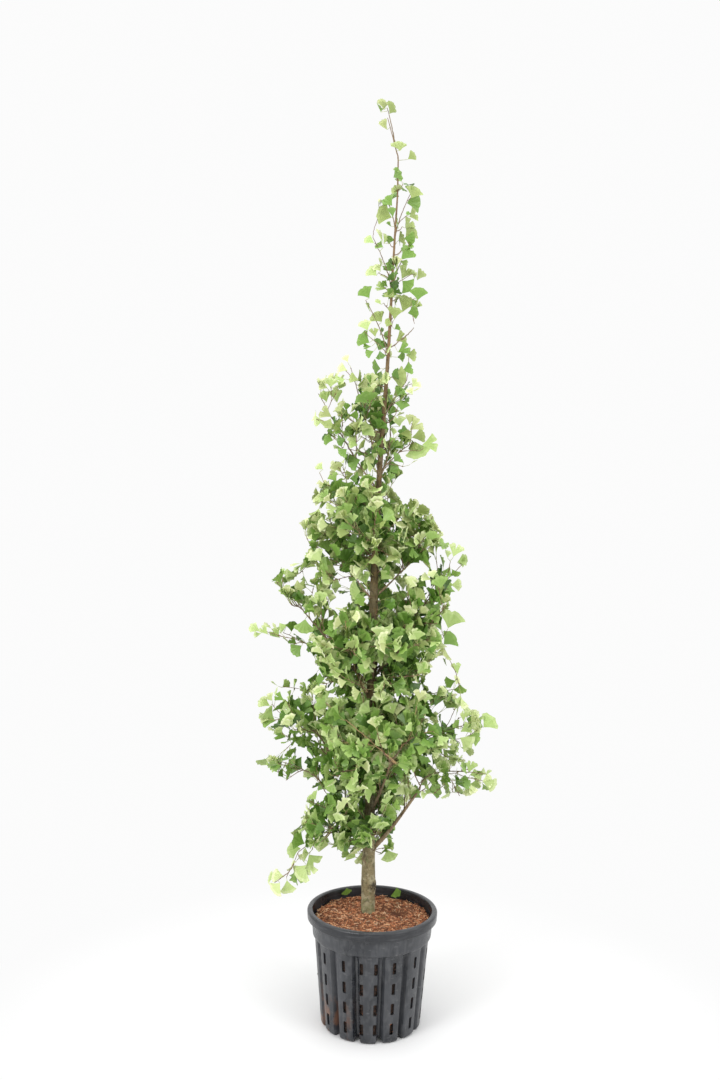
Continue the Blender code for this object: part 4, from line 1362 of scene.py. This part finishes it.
def leaf_shape(number):
    """One kind of fan, its stalk's end at the origin, opening along +Y with its upper face to +Z."""
    turn = random.Random(number + 100)
    opening = math.radians(turn.uniform(37, 54))
    waves = turn.uniform(2.4, 4.2) * math.pi
    phase = turn.uniform(0, 2 * math.pi)
    notch = turn.choice((0.0, 0.0, 0.06, 0.14, 0.28, 0.42))
    notch_place = turn.uniform(-0.10, 0.10)
    notch_width = turn.uniform(0.06, 0.10)
    cup = turn.uniform(-0.25, 0.55)
    droop = turn.uniform(-0.20, 0.35)
    ripple = turn.uniform(0.02, 0.07)
    scallops = [turn.uniform(-0.022, 0.022) for _ in range(LEAF_SPOKES + 1)]
    points = [(0.0, 0.0, 0.0)]
    for ring in LEAF_RINGS:
        for spoke in range(LEAF_SPOKES + 1):
            across = 2 * spoke / LEAF_SPOKES - 1
            angle = across * opening * (0.74 + 0.26 * ring)
            edge = 1 + scallops[spoke] + 0.03 * math.sin(waves * across + phase)
            edge -= notch * math.exp(-(((across - notch_place) / notch_width) ** 2))
            edge -= 0.05 * across**12
            reach = ring * (1 + (edge - 1) * ring**2)
            side = math.sin(angle) * reach
            ahead = math.cos(angle) * reach
            rise = cup * side * side - droop * ahead * ahead * 0.5
            rise += ripple * ring**3 * math.sin(waves * across * 1.2 + phase * 1.7)
            rise += 0.007 * ring * (-1) ** spoke
            points.append((side, ahead, rise))
    return np.array(points)


leaf_points = [leaf_shape(number) for number in range(LEAF_KINDS)]
fan_faces = np.array([(0, 2 + spoke, 1 + spoke) for spoke in range(LEAF_SPOKES)])
band_faces = []
for ring in range(2):
    inner_edge = 1 + ring * (LEAF_SPOKES + 1) + np.arange(LEAF_SPOKES)
    outer_edge = inner_edge + LEAF_SPOKES + 1
    band_faces.append(np.stack((inner_edge, inner_edge + 1, outer_edge + 1, outer_edge), axis=1))


def tint_of(bud, outward):
    """The colour of a tuft: its spray's own, lighter with youth, and with painted light and shade: lighter
    with distance from the trunk and with height up to 2 m, darker above 2 m and deep inside the crown.
    """
    # Painted light and shade: tufts deep inside the crown darker, those far from the trunk lighter, and a
    # height term lighter up to 2 m and darker above.
    inside = min(0.0, signed_depth(crown_surface, bud.place)) / 0.04
    share = 0.20 * bud.spray + 0.36 * bud.youth**2 + 0.16 * outward + 0.28 * draw.random()
    painted_light_by_height = 0.05 * (min(bud.place.z, 2.0) - 1.0) - 0.30 * max(0.0, bud.place.z - 2.0)
    share += painted_light_by_height + 0.14 * max(-1.0, inside)
    return int(share * PLAIN_TINTS * 1.20)


def leaf_pose(bud, start, outward, stalk):
    """The stalk's direction and end and the frame of the blade, for one leaf of a tuft."""
    lean = bud.side * 0.9 + bud.way * 0.6 + UP * 0.50 + outward * 0.30 + any_way() * 0.60
    lean = lean.normalized()
    ahead = (lean - UP * draw.uniform(-0.5, 0.6) + any_way() * 0.30).normalized()
    joint = start + lean * stalk * 0.75 + ahead * stalk * 0.25
    sideways = outward.cross(UP) * draw.choice((-0.6, 0.6))
    facing = outward * 0.90 + sideways + UP * 0.35 + any_way() * 0.60
    facing = facing - ahead * facing.dot(ahead)
    if facing.length < 0.05:
        facing = ahead.orthogonal()
    return lean, ahead, joint, facing.normalized()


# Each leaf's tint also paints the light or shade that falls on it.
# Leaves that stand clear of the crown, as the camera sees them in the upright plane through the
# pot: x and z of the foot of the blade, x and z of its tip, how far it's turned edge-on, and its tint.
# Other leaves keep clear of their middles by a share of their length.
PLACED_ROOM = 0.55
PLACED_DEPTHS = (-0.020, 0.014)
PLACED_LEAVES = (
    (-0.0024, 2.778, -0.0057, 2.813, 0.8, "olive_bright"),
    (0.0146, 2.766, 0.0297, 2.799, 0.9, "olive_fresh"), (-0.0114, 2.769, -0.0188, 2.796, 1.2, "fresh"),
    (0.0083, 2.717, -0.013, 2.744, 0.6, "olive_bright"), (0.0487, 2.653, 0.043, 2.685, 0.3, "olive_fresh"),
    (0.0367, 2.671, 0.019, 2.671, 0.9, "bright"), (0.073, 2.628, 0.0949, 2.645, 0.3, "olive_fresh"),
    (0.045, 2.588, 0.033, 2.600, 0.6, "fresh"), (0.030, 2.572, 0.052, 2.590, 0.5, "green"),
    (0.056, 2.560, 0.035, 2.570, 0.7, "fresh"), (0.048, 2.530, 0.024, 2.536, 0.5, "olive_fresh"),
    (0.048, 2.514, 0.025, 2.522, 0.7, "green"), (0.027, 2.486, 0.003, 2.510, 0.3, "green"),
    (0.026, 2.449, -0.018, 2.466, 0.2, "olive_fresh"), (0.030, 2.450, 0.023, 2.480, 0.6, "green"),
    (0.086, 2.509, 0.099, 2.545, 0.3, "olive_fresh"), (0.072, 2.494, 0.114, 2.505, 0.5, "green"),
    (0.077, 2.531, 0.070, 2.549, 0.9, "green"), (0.082, 2.527, 0.092, 2.544, 1.4, "light"),
    (0.080, 2.452, 0.104, 2.466, 0.4, "olive_fresh"), (0.086, 2.458, 0.070, 2.466, 0.8, "green"),
    (0.070, 2.392, 0.098, 2.418, 0.2, "olive_fresh"), (0.066, 2.388, 0.098, 2.381, 0.6, "green"),
    (0.068, 2.418, 0.088, 2.443, 0.4, "olive_fresh"), (-0.026, 2.370, -0.052, 2.389, 0.5, "bright"),
    (0.000, 2.372, -0.014, 2.414, 1.2, "young"), (0.003, 2.369, 0.015, 2.396, 1.0, "light"),
    (0.002, 2.358, -0.022, 2.366, 0.6, "green"), (0.018, 2.368, 0.022, 2.394, 0.6, "green"),
    (0.026, 2.421, 0.011, 2.436, 1.0, "green"), (0.057, 2.321, 0.088, 2.353, 0.0, "green"),
    (0.060, 2.262, 0.078, 2.300, 0.3, "olive_fresh"), (0.054, 2.316, 0.078, 2.310, 0.8, "bright"),
    (-0.017, 2.271, -0.042, 2.294, 0.1, "light"), (-0.005, 2.285, -0.022, 2.306, 0.6, "young"),
    (-0.004, 2.300, -0.006, 2.324, 1.2, "young"), (0.030, 2.285, 0.006, 2.306, 0.5, "green"),
    (0.017, 2.238, -0.002, 2.252, 0.5, "green"), (0.014, 2.231, -0.019, 2.238, 0.5, "bright"),
    (0.040, 2.205, 0.012, 2.224, 0.5, "olive_fresh"), (0.034, 2.206, 0.001, 2.212, 0.9, "green"),
    (-0.038, 2.202, -0.060, 2.234, 0.2, "green"), (-0.002, 2.183, -0.018, 2.198, 0.9, "light"),
    (-0.035, 2.160, -0.049, 2.187, 1.2, "bright"), (0.001, 2.130, -0.022, 2.160, 0.3, "olive_fresh"),
    (-0.042, 2.103, -0.056, 2.134, 0.3, "light"), (-0.004, 2.088, 0.005, 2.113, 1.3, "green"),
    (-0.018, 2.084, -0.026, 2.110, 0.4, "olive_fresh"), (-0.036, 2.066, -0.070, 2.085, 0.1, "green"),
    (-0.030, 2.055, -0.054, 2.051, 0.6, "green"), (-0.022, 2.040, -0.047, 2.031, 0.3, "green"),
    (-0.008, 2.044, 0.004, 2.076, 0.3, "shaded"), (-0.004, 2.042, 0.001, 2.017, 0.3, "shaded"),
    (0.034, 2.122, 0.010, 2.132, 0.6, "olive_fresh"), (0.034, 2.088, 0.008, 2.090, 0.5, "green"),
    (0.046, 2.073, 0.074, 2.090, 0.4, "olive_fresh"), (0.040, 2.108, 0.056, 2.119, 0.8, "green"),
    (0.052, 2.038, 0.086, 2.057, 0.1, "green"), (0.076, 2.030, 0.109, 2.030, 0.3, "olive_fresh"),
    (0.050, 2.023, 0.074, 2.028, 0.9, "green"), (0.064, 2.161, 0.080, 2.209, 0.2, "olive_fresh"),
    (0.080, 2.158, 0.112, 2.166, 0.8, "green"), (0.094, 2.180, 0.103, 2.196, 0.6, "green"),
    (0.110, 2.198, 0.113, 2.237, 0.1, "green"), (0.062, 2.256, 0.090, 2.232, 0.3, "green"),
    (0.107, 2.259, 0.121, 2.291, 0.8, "olive_fresh"), (0.098, 2.264, 0.096, 2.290, 1.1, "light"),
    (0.040, 2.138, 0.037, 2.180, 0.7, "olive_fresh"), (0.066, 1.981, 0.097, 1.992, 0.2, "green"),
    (0.034, 1.962, 0.079, 1.960, 0.2, "olive_fresh"), (0.098, 1.934, 0.116, 1.954, 0.4, "young"),
    (0.099, 1.910, 0.084, 1.930, 0.5, "young"), (0.040, 1.905, 0.066, 1.925, 0.5, "olive_fresh"),
    (0.065, 1.860, 0.069, 1.891, 0.3, "green"), (0.028, 1.845, 0.036, 1.876, 0.3, "green"),
    (0.030, 1.812, 0.046, 1.843, 0.4, "shaded"), (0.061, 1.811, 0.052, 1.844, 0.6, "light"),
    (0.090, 1.818, 0.095, 1.849, 0.3, "olive_bright"), (0.092, 1.802, 0.126, 1.828, 0.1, "olive_bright"),
    (0.068, 1.779, 0.071, 1.804, 0.4, "shaded"), (0.098, 1.778, 0.138, 1.789, 0.6, "olive_fresh"),
    (0.130, 1.756, 0.176, 1.766, 0.3, "bright"), (0.108, 1.766, 0.124, 1.716, 0.1, "bright"),
    (0.100, 1.770, 0.101, 1.738, 0.9, "olive_fresh"), (0.045, 1.704, 0.063, 1.725, 0.7, "green"),
    (0.075, 1.700, 0.062, 1.712, 0.7, "green"), (-0.102, 1.980, -0.130, 1.990, 0.1, "young"),
    (-0.066, 1.952, -0.096, 1.957, 0.2, "olive_fresh"), (-0.153, 1.928, -0.152, 1.958, 0.3, "light"),
    (-0.131, 1.882, -0.140, 1.921, 0.3, "bright"), (-0.163, 1.883, -0.176, 1.916, 0.7, "bright"),
    (-0.172, 1.826, -0.202, 1.822, 0.2, "light"), (-0.148, 1.838, -0.182, 1.858, 0.1, "olive_bright"),
    (-0.150, 1.832, -0.164, 1.803, 0.4, "olive_fresh"), (-0.104, 1.857, -0.102, 1.882, 0.5, "green"),
    (-0.095, 1.843, -0.066, 1.846, 0.8, "green"), (-0.106, 1.823, -0.103, 1.850, 0.4, "green"),
    (-0.142, 1.766, -0.170, 1.774, 0.2, "green"), (-0.112, 1.792, -0.138, 1.800, 0.3, "green"),
    (-0.104, 1.770, -0.130, 1.760, 0.3, "shaded"), (-0.100, 1.740, -0.122, 1.724, 0.2, "green"),
    (-0.058, 1.708, -0.097, 1.697, 0.2, "green"), (-0.070, 1.755, -0.088, 1.782, 0.5, "light"),
    (-0.066, 1.752, -0.093, 1.762, 0.6, "bright"), (-0.172, 1.677, -0.192, 1.690, 0.4, "light"),
    (-0.130, 1.677, -0.122, 1.700, 0.4, "olive_fresh"), (-0.270, 0.431, -0.308, 0.436, 0.3, "young"),
    (-0.283, 0.412, -0.303, 0.380, 0.3, "young"), (-0.262, 0.421, -0.256, 0.380, 0.0, "light"),
    (-0.222, 0.519, -0.264, 0.513, 0.5, "bright"), (-0.210, 0.533, -0.246, 0.550, 0.1, "green"),
    (-0.203, 0.468, -0.233, 0.426, 0.4, "light"), (-0.198, 0.478, -0.185, 0.440, 0.4, "light"),
    (-0.196, 0.500, -0.172, 0.468, 0.3, "bright"), (-0.030, 0.520, -0.025, 0.472, 0.2, "light"),
    (0.042, 0.520, 0.056, 0.484, 0.4, "bright"), (-0.296, 1.161, -0.323, 1.184, 0.6, "bright"),
    (-0.272, 1.203, -0.299, 1.182, 0.8, "bright"), (-0.260, 1.180, -0.260, 1.212, 0.7, "green"),
    (-0.2185, 1.219, -0.225, 1.175, 0.2, "fresh"), (-0.243, 1.141, -0.265, 1.158, 0.4, "green"),
    (-0.228, 1.138, -0.260, 1.117, 0.4, "green"), (-0.356, 1.180, -0.388, 1.196, 0.6, "light"),
    (-0.352, 1.174, -0.375, 1.162, 0.9, "light"), (-0.331, 1.170, -0.355, 1.192, 0.5, "light"),
    (0.2305, 1.416, 0.243, 1.456, 0.3, "light"), (0.2135, 1.412, 0.2125, 1.438, 1.0, "light"),
    (0.243, 1.400, 0.274, 1.416, 1.1, "bright"), (0.245, 1.398, 0.275, 1.400, 1.4, "bright"),
    (0.221, 1.386, 0.209, 1.356, 0.4, "fresh"), (0.228, 1.378, 0.243, 1.354, 1.0, "fresh"),
    (0.225, 1.330, 0.258, 1.332, 0.8, "light"), (0.218, 1.198, 0.234, 1.252, 0.4, "bright"),
    (0.206, 1.148, 0.237, 1.180, 0.6, "green"), (0.250, 1.058, 0.242, 1.094, 0.7, "bright"),
    (0.243, 1.038, 0.211, 1.026, 0.5, "green"), (0.257, 1.028, 0.258, 0.998, 0.5, "fresh"),
    (0.331, 0.897, 0.362, 0.928, 0.0, "bright"), (0.270, 0.913, 0.269, 0.949, 0.9, "light"),
    (0.291, 0.903, 0.287, 0.928, 1.1, "green"), (0.256, 0.890, 0.242, 0.914, 0.6, "fresh"),
    (0.262, 0.882, 0.290, 0.902, 0.6, "bright"), (0.283, 0.867, 0.322, 0.866, 1.0, "fresh"),
    (0.260, 0.864, 0.300, 0.842, 0.4, "light"), (0.262, 0.836, 0.304, 0.820, 1.3, "light"),
    (0.288, 0.757, 0.297, 0.794, 0.7, "bright"), (0.291, 0.750, 0.316, 0.758, 0.7, "bright"),
    (0.281, 0.753, 0.267, 0.786, 1.1, "fresh"), (0.310, 0.736, 0.309, 0.710, 0.3, "bright"),
    (0.330, 0.732, 0.360, 0.738, 0.4, "young"), (0.334, 0.728, 0.373, 0.716, 0.7, "light"),
    (0.330, 0.726, 0.352, 0.703, 1.4, "fresh"), (0.340, 0.750, 0.354, 0.768, 1.3, "light"),
    (-0.305, 0.906, -0.345, 0.918, 0.0, "fresh"), (-0.322, 0.952, -0.354, 0.972, 0.4, "light"),
    (-0.315, 0.968, -0.336, 0.986, 0.6, "young"), (-0.279, 0.970, -0.307, 0.984, 0.4, "green"),
    (-0.298, 1.013, -0.321, 1.025, 1.2, "light"), (-0.285, 1.010, -0.262, 1.026, 1.0, "bright"),
    (-0.272, 0.858, -0.307, 0.862, 0.6, "green"), (-0.250, 1.000, -0.250, 1.036, 1.4, "bright"),
)
placed_feet = np.array([row[0:2] for row in PLACED_LEAVES])
placed_tips = np.array([row[2:4] for row in PLACED_LEAVES])
placed_x, placed_z = ((placed_feet + placed_tips) / 2).T
placed_room = PLACED_ROOM * np.hypot(*(placed_tips - placed_feet).T)


def seen_marks():
    """Points of the wood that shows in front of the leaves: their x and z in view, their depth and radius."""
    marks = []
    for low, high in SEEN_TRUNK:
        for step in range(round((high - low) / SEEN_STEP) + 1):
            marks.append(trunk_at(low + SEEN_STEP * step))
    for name in SEEN_BOUGHS:
        line = bough_lines["bough_" + name]
        marks += [along_line(line, step / 24)[:2] for step in range(25)]
    for name, share in SEEN_SHOOTS:
        leader = shoots["leaves_" + name][0]
        marks += list(zip(leader.points, leader.radii))[: round(share * len(leader.points))]
    return np.array([(*in_view(place), place.y, radius) for place, radius in marks])


marks_x, marks_z, marks_y, marks_radius = seen_marks().T


def hides_wood(centre, reach):
    """True for a leaf in front of wood that shows."""
    x, z = in_view(centre)
    near = np.hypot(marks_x - x, marks_z - z) < marks_radius * 0.7 + reach * 0.55
    return bool((near & (marks_y > centre.y - 0.006)).any())


def room_for(places, limit):
    """True where a leaf stays inside the plant's outline and clear of the gaps and of the placed leaves."""
    for place in places:
        x, z = in_view(place)
        if (np.hypot(placed_x - x, placed_z - z) < placed_room).any():
            return False
        beyond = max(max(low - at, at - high) for low, at, high in zip(cad_box[0], place, cad_box[1]))
        if beyond > BOX_MARGIN or closes_gap(place) or signed_depth(crown_surface, place) > limit:
            return False
    return True


draw = random.Random(31)
airy_shares = np.array(AIRY_SHARES).T
old_wood = Bundle()
new_wood = Bundle()
golden_wood = Bundle()
stalks = Bundle()
leaves = {tint[0]: Bundle(3) for tint in LEAF_TINTS}


def add_leaf(tint, kind, joint, ahead, facing, reach):
    """One blade: its tint and kind, the stalk's end, the ways that it points and faces, and its length."""
    turned = np.array((ahead.cross(facing)[:], ahead[:], facing[:]))
    leaves[tint].add(leaf_points[kind] @ turned * reach + np.array(joint[:]), fan_faces, *band_faces)


def add_stalk(line, radius):
    """One leaf's stalk along a line, from a radius at its foot."""
    stalks.add(*tube_arrays(line, np.linspace(radius, 0.0006, len(line)), STALK_SIDES, False))


for bud in buds:
    if bud.place.z > LEADER_Z or draw.random() < np.interp(bud.place.z, *airy_shares):
        continue
    axis, thickness = trunk_at(bud.place.z)
    outward = Vector((bud.place.x - axis.x, bud.place.y - axis.y, 0.0))
    far_out = min(1.0, outward.length / 0.30)
    outward = outward.normalized() if outward.length > 0.001 else any_way()
    tuft = 4 if bud.last else draw.choice((1, 1, 2, 2, 3))
    tint = tint_of(bud, far_out)
    spur_end = bud.place + bud.side * draw.uniform(*SPUR_LENGTH)
    grew = False
    for _ in range(tuft):
        small = 1 - 0.30 * max(0.0, (bud.youth - 0.75) / 0.25) * draw.random()
        small *= 1 - 0.14 * min(1.0, max(0.0, (bud.place.z - 1.3) / 1.2))
        reach = draw.uniform(*LEAF_REACH) * small
        stalk = draw.uniform(*STALK_LENGTH) * small
        kind = draw.randrange(LEAF_KINDS)
        for _ in range(LEAF_TRIES * (3 if bud.last else 1)):
            lean, ahead, joint, facing = leaf_pose(bud, spur_end, outward, stalk)
            across = ahead.cross(facing)
            corners = [joint + (ahead * 0.72 + across * side) * reach for side in (-0.70, 0.70)]
            if hides_wood(joint + ahead * reach * 0.55, reach):
                continue
            if room_for([joint + ahead * reach, *corners], bud.limit):
                break
        else:
            continue
        axis, thickness = trunk_at(joint.z)
        if (joint.xy - axis.xy).length < thickness + TRUNK_GAP:
            continue
        # A random step up or down the tints for each leaf, a painted light and shade for how it turns to the
        # light.
        place = max(0, min(PLAIN_TINTS - 1, tint + draw.choice((-1, -1, 0, 0, 0, 1, 1))))
        if OLIVE_FROM <= place < PLAIN_TINTS - 1 and draw.random() < (bud.place.z - 0.7) / 1.6:
            place += PLAIN_TINTS - OLIVE_FROM
        add_leaf(LEAF_TINTS[place][0], kind, joint, ahead, facing, reach)
        add_stalk(curved(spur_end, spur_end + lean * stalk * 0.55, joint, stalk / 3), 0.0008)
        grew = True
    if grew:
        bud.shoot.keep(bud.at)
        cone = [bud.place, bud.place.lerp(spur_end, 0.5), spur_end]
        new_wood.add(*tube_arrays(cone, SPUR_RADII, SPUR_SIDES, False))


def on_ray(x, z, depth):
    """The place at a depth that the camera sees at x and z of the upright plane."""
    share = 1 - depth / CAMERA_PLACE[1]
    return Vector((
        CAMERA_PLACE[0] + (x - CAMERA_PLACE[0]) * share,
        depth,
        CAMERA_PLACE[2] + (z - CAMERA_PLACE[2]) * share,
    ))


wood_places = [(shoot, at) for shoot in (*limbs, *all_shoots) for at in range(len(shoot.points))]
wood_x, wood_z = np.array([in_view(shoot.points[at]) for shoot, at in wood_places]).T
wood_y = np.array([shoot.points[at].y for shoot, at in wood_places])
for foot_x, foot_z, tip_x, tip_z, turn, tint in PLACED_LEAVES:
    far = np.hypot(wood_x - foot_x, wood_z - foot_z) + 0.15 * np.maximum(0.0, wood_y - 0.02)
    shoot, at = wood_places[int(far.argmin())]
    start = shoot.points[at] - Vector((0.0, shoot.radii[at], 0.0))
    depth = start.y + draw.uniform(*PLACED_DEPTHS)
    joint = on_ray(foot_x, foot_z, depth)
    ahead = on_ray(tip_x, tip_z, depth + draw.uniform(-0.006, 0.006)) - joint
    reach = ahead.length
    ahead.normalize()
    facing = Vector(CAMERA_PLACE) - joint + UP * 0.8
    facing = Matrix.Rotation(turn, 3, ahead) @ (facing - ahead * facing.dot(ahead)).normalized()
    add_leaf(tint, draw.randrange(LEAF_KINDS), joint, ahead, facing, reach)
    add_stalk(curved(start, start.lerp(joint, 0.5), joint, (joint - start).length / 3 + 0.001), 0.0009)
    shoot.keep(at)

golden = [shoot for mass in GOLDEN_MASSES for shoot in shoots[mass][:2]]
for shoot in all_shoots:
    if shoot.kept > 1:
        points = shoot.points[:shoot.kept + 1]
        bundle = old_wood if shoot.radii[0] > 0.0021 else new_wood
        bundle = golden_wood if shoot in golden else bundle
        bundle.add(*tube_arrays(points, tapered(points, shoot.radii[0]), SHOOT_SIDES))

# Two dropped leaves stand on the mulch against the back of the pot.
LOOSE_LEAVES = (
    ((0.080, 0.146, 0.352), (0.06, 0.10, -1.0), 0.033, 1),
    ((-0.080, 0.140, 0.350), (0.10, 0.12, -1.0), 0.025, 4),
)
for joint, ahead, reach, kind in LOOSE_LEAVES:
    ahead = Vector(ahead).normalized()
    facing = Vector((0.5, -1.0, 0.35))
    facing = (facing - ahead * facing.dot(ahead)).normalized()
    add_leaf("green", kind, joint, ahead, facing, reach)

for tint, *colours in LEAF_TINTS:
    names = (f"leaf_{tint}", f"leaf_edge_{tint}")
    finishes = [new_finish(name, colour, LEAF_ROUGHNESS) for name, colour in zip(names, colours)]
    piece = leaves[tint].joined(f"leaves_{tint}", finishes, (0, 0, 1))
    piece.data.shade_smooth()
    ride(piece, "foliage", *masses)

stalk_piece = stalks.joined("leaf_stalks", [new_finish("leaf_stalk", (0.42, 0.44, 0.16), 0.5)])
stalk_piece.data.shade_smooth()
ride(stalk_piece, "foliage")
for name, bundle, colour in (
    ("old_shoots", old_wood, (0.200, 0.145, 0.085)),
    ("new_shoots", new_wood, (0.210, 0.130, 0.075)),
    ("golden_shoots", golden_wood, (0.420, 0.275, 0.130)),
):
    piece = bundle.joined(name, [new_finish(name, colour, 0.7)])
    piece.data.shade_smooth()
    ride(piece, "bark")
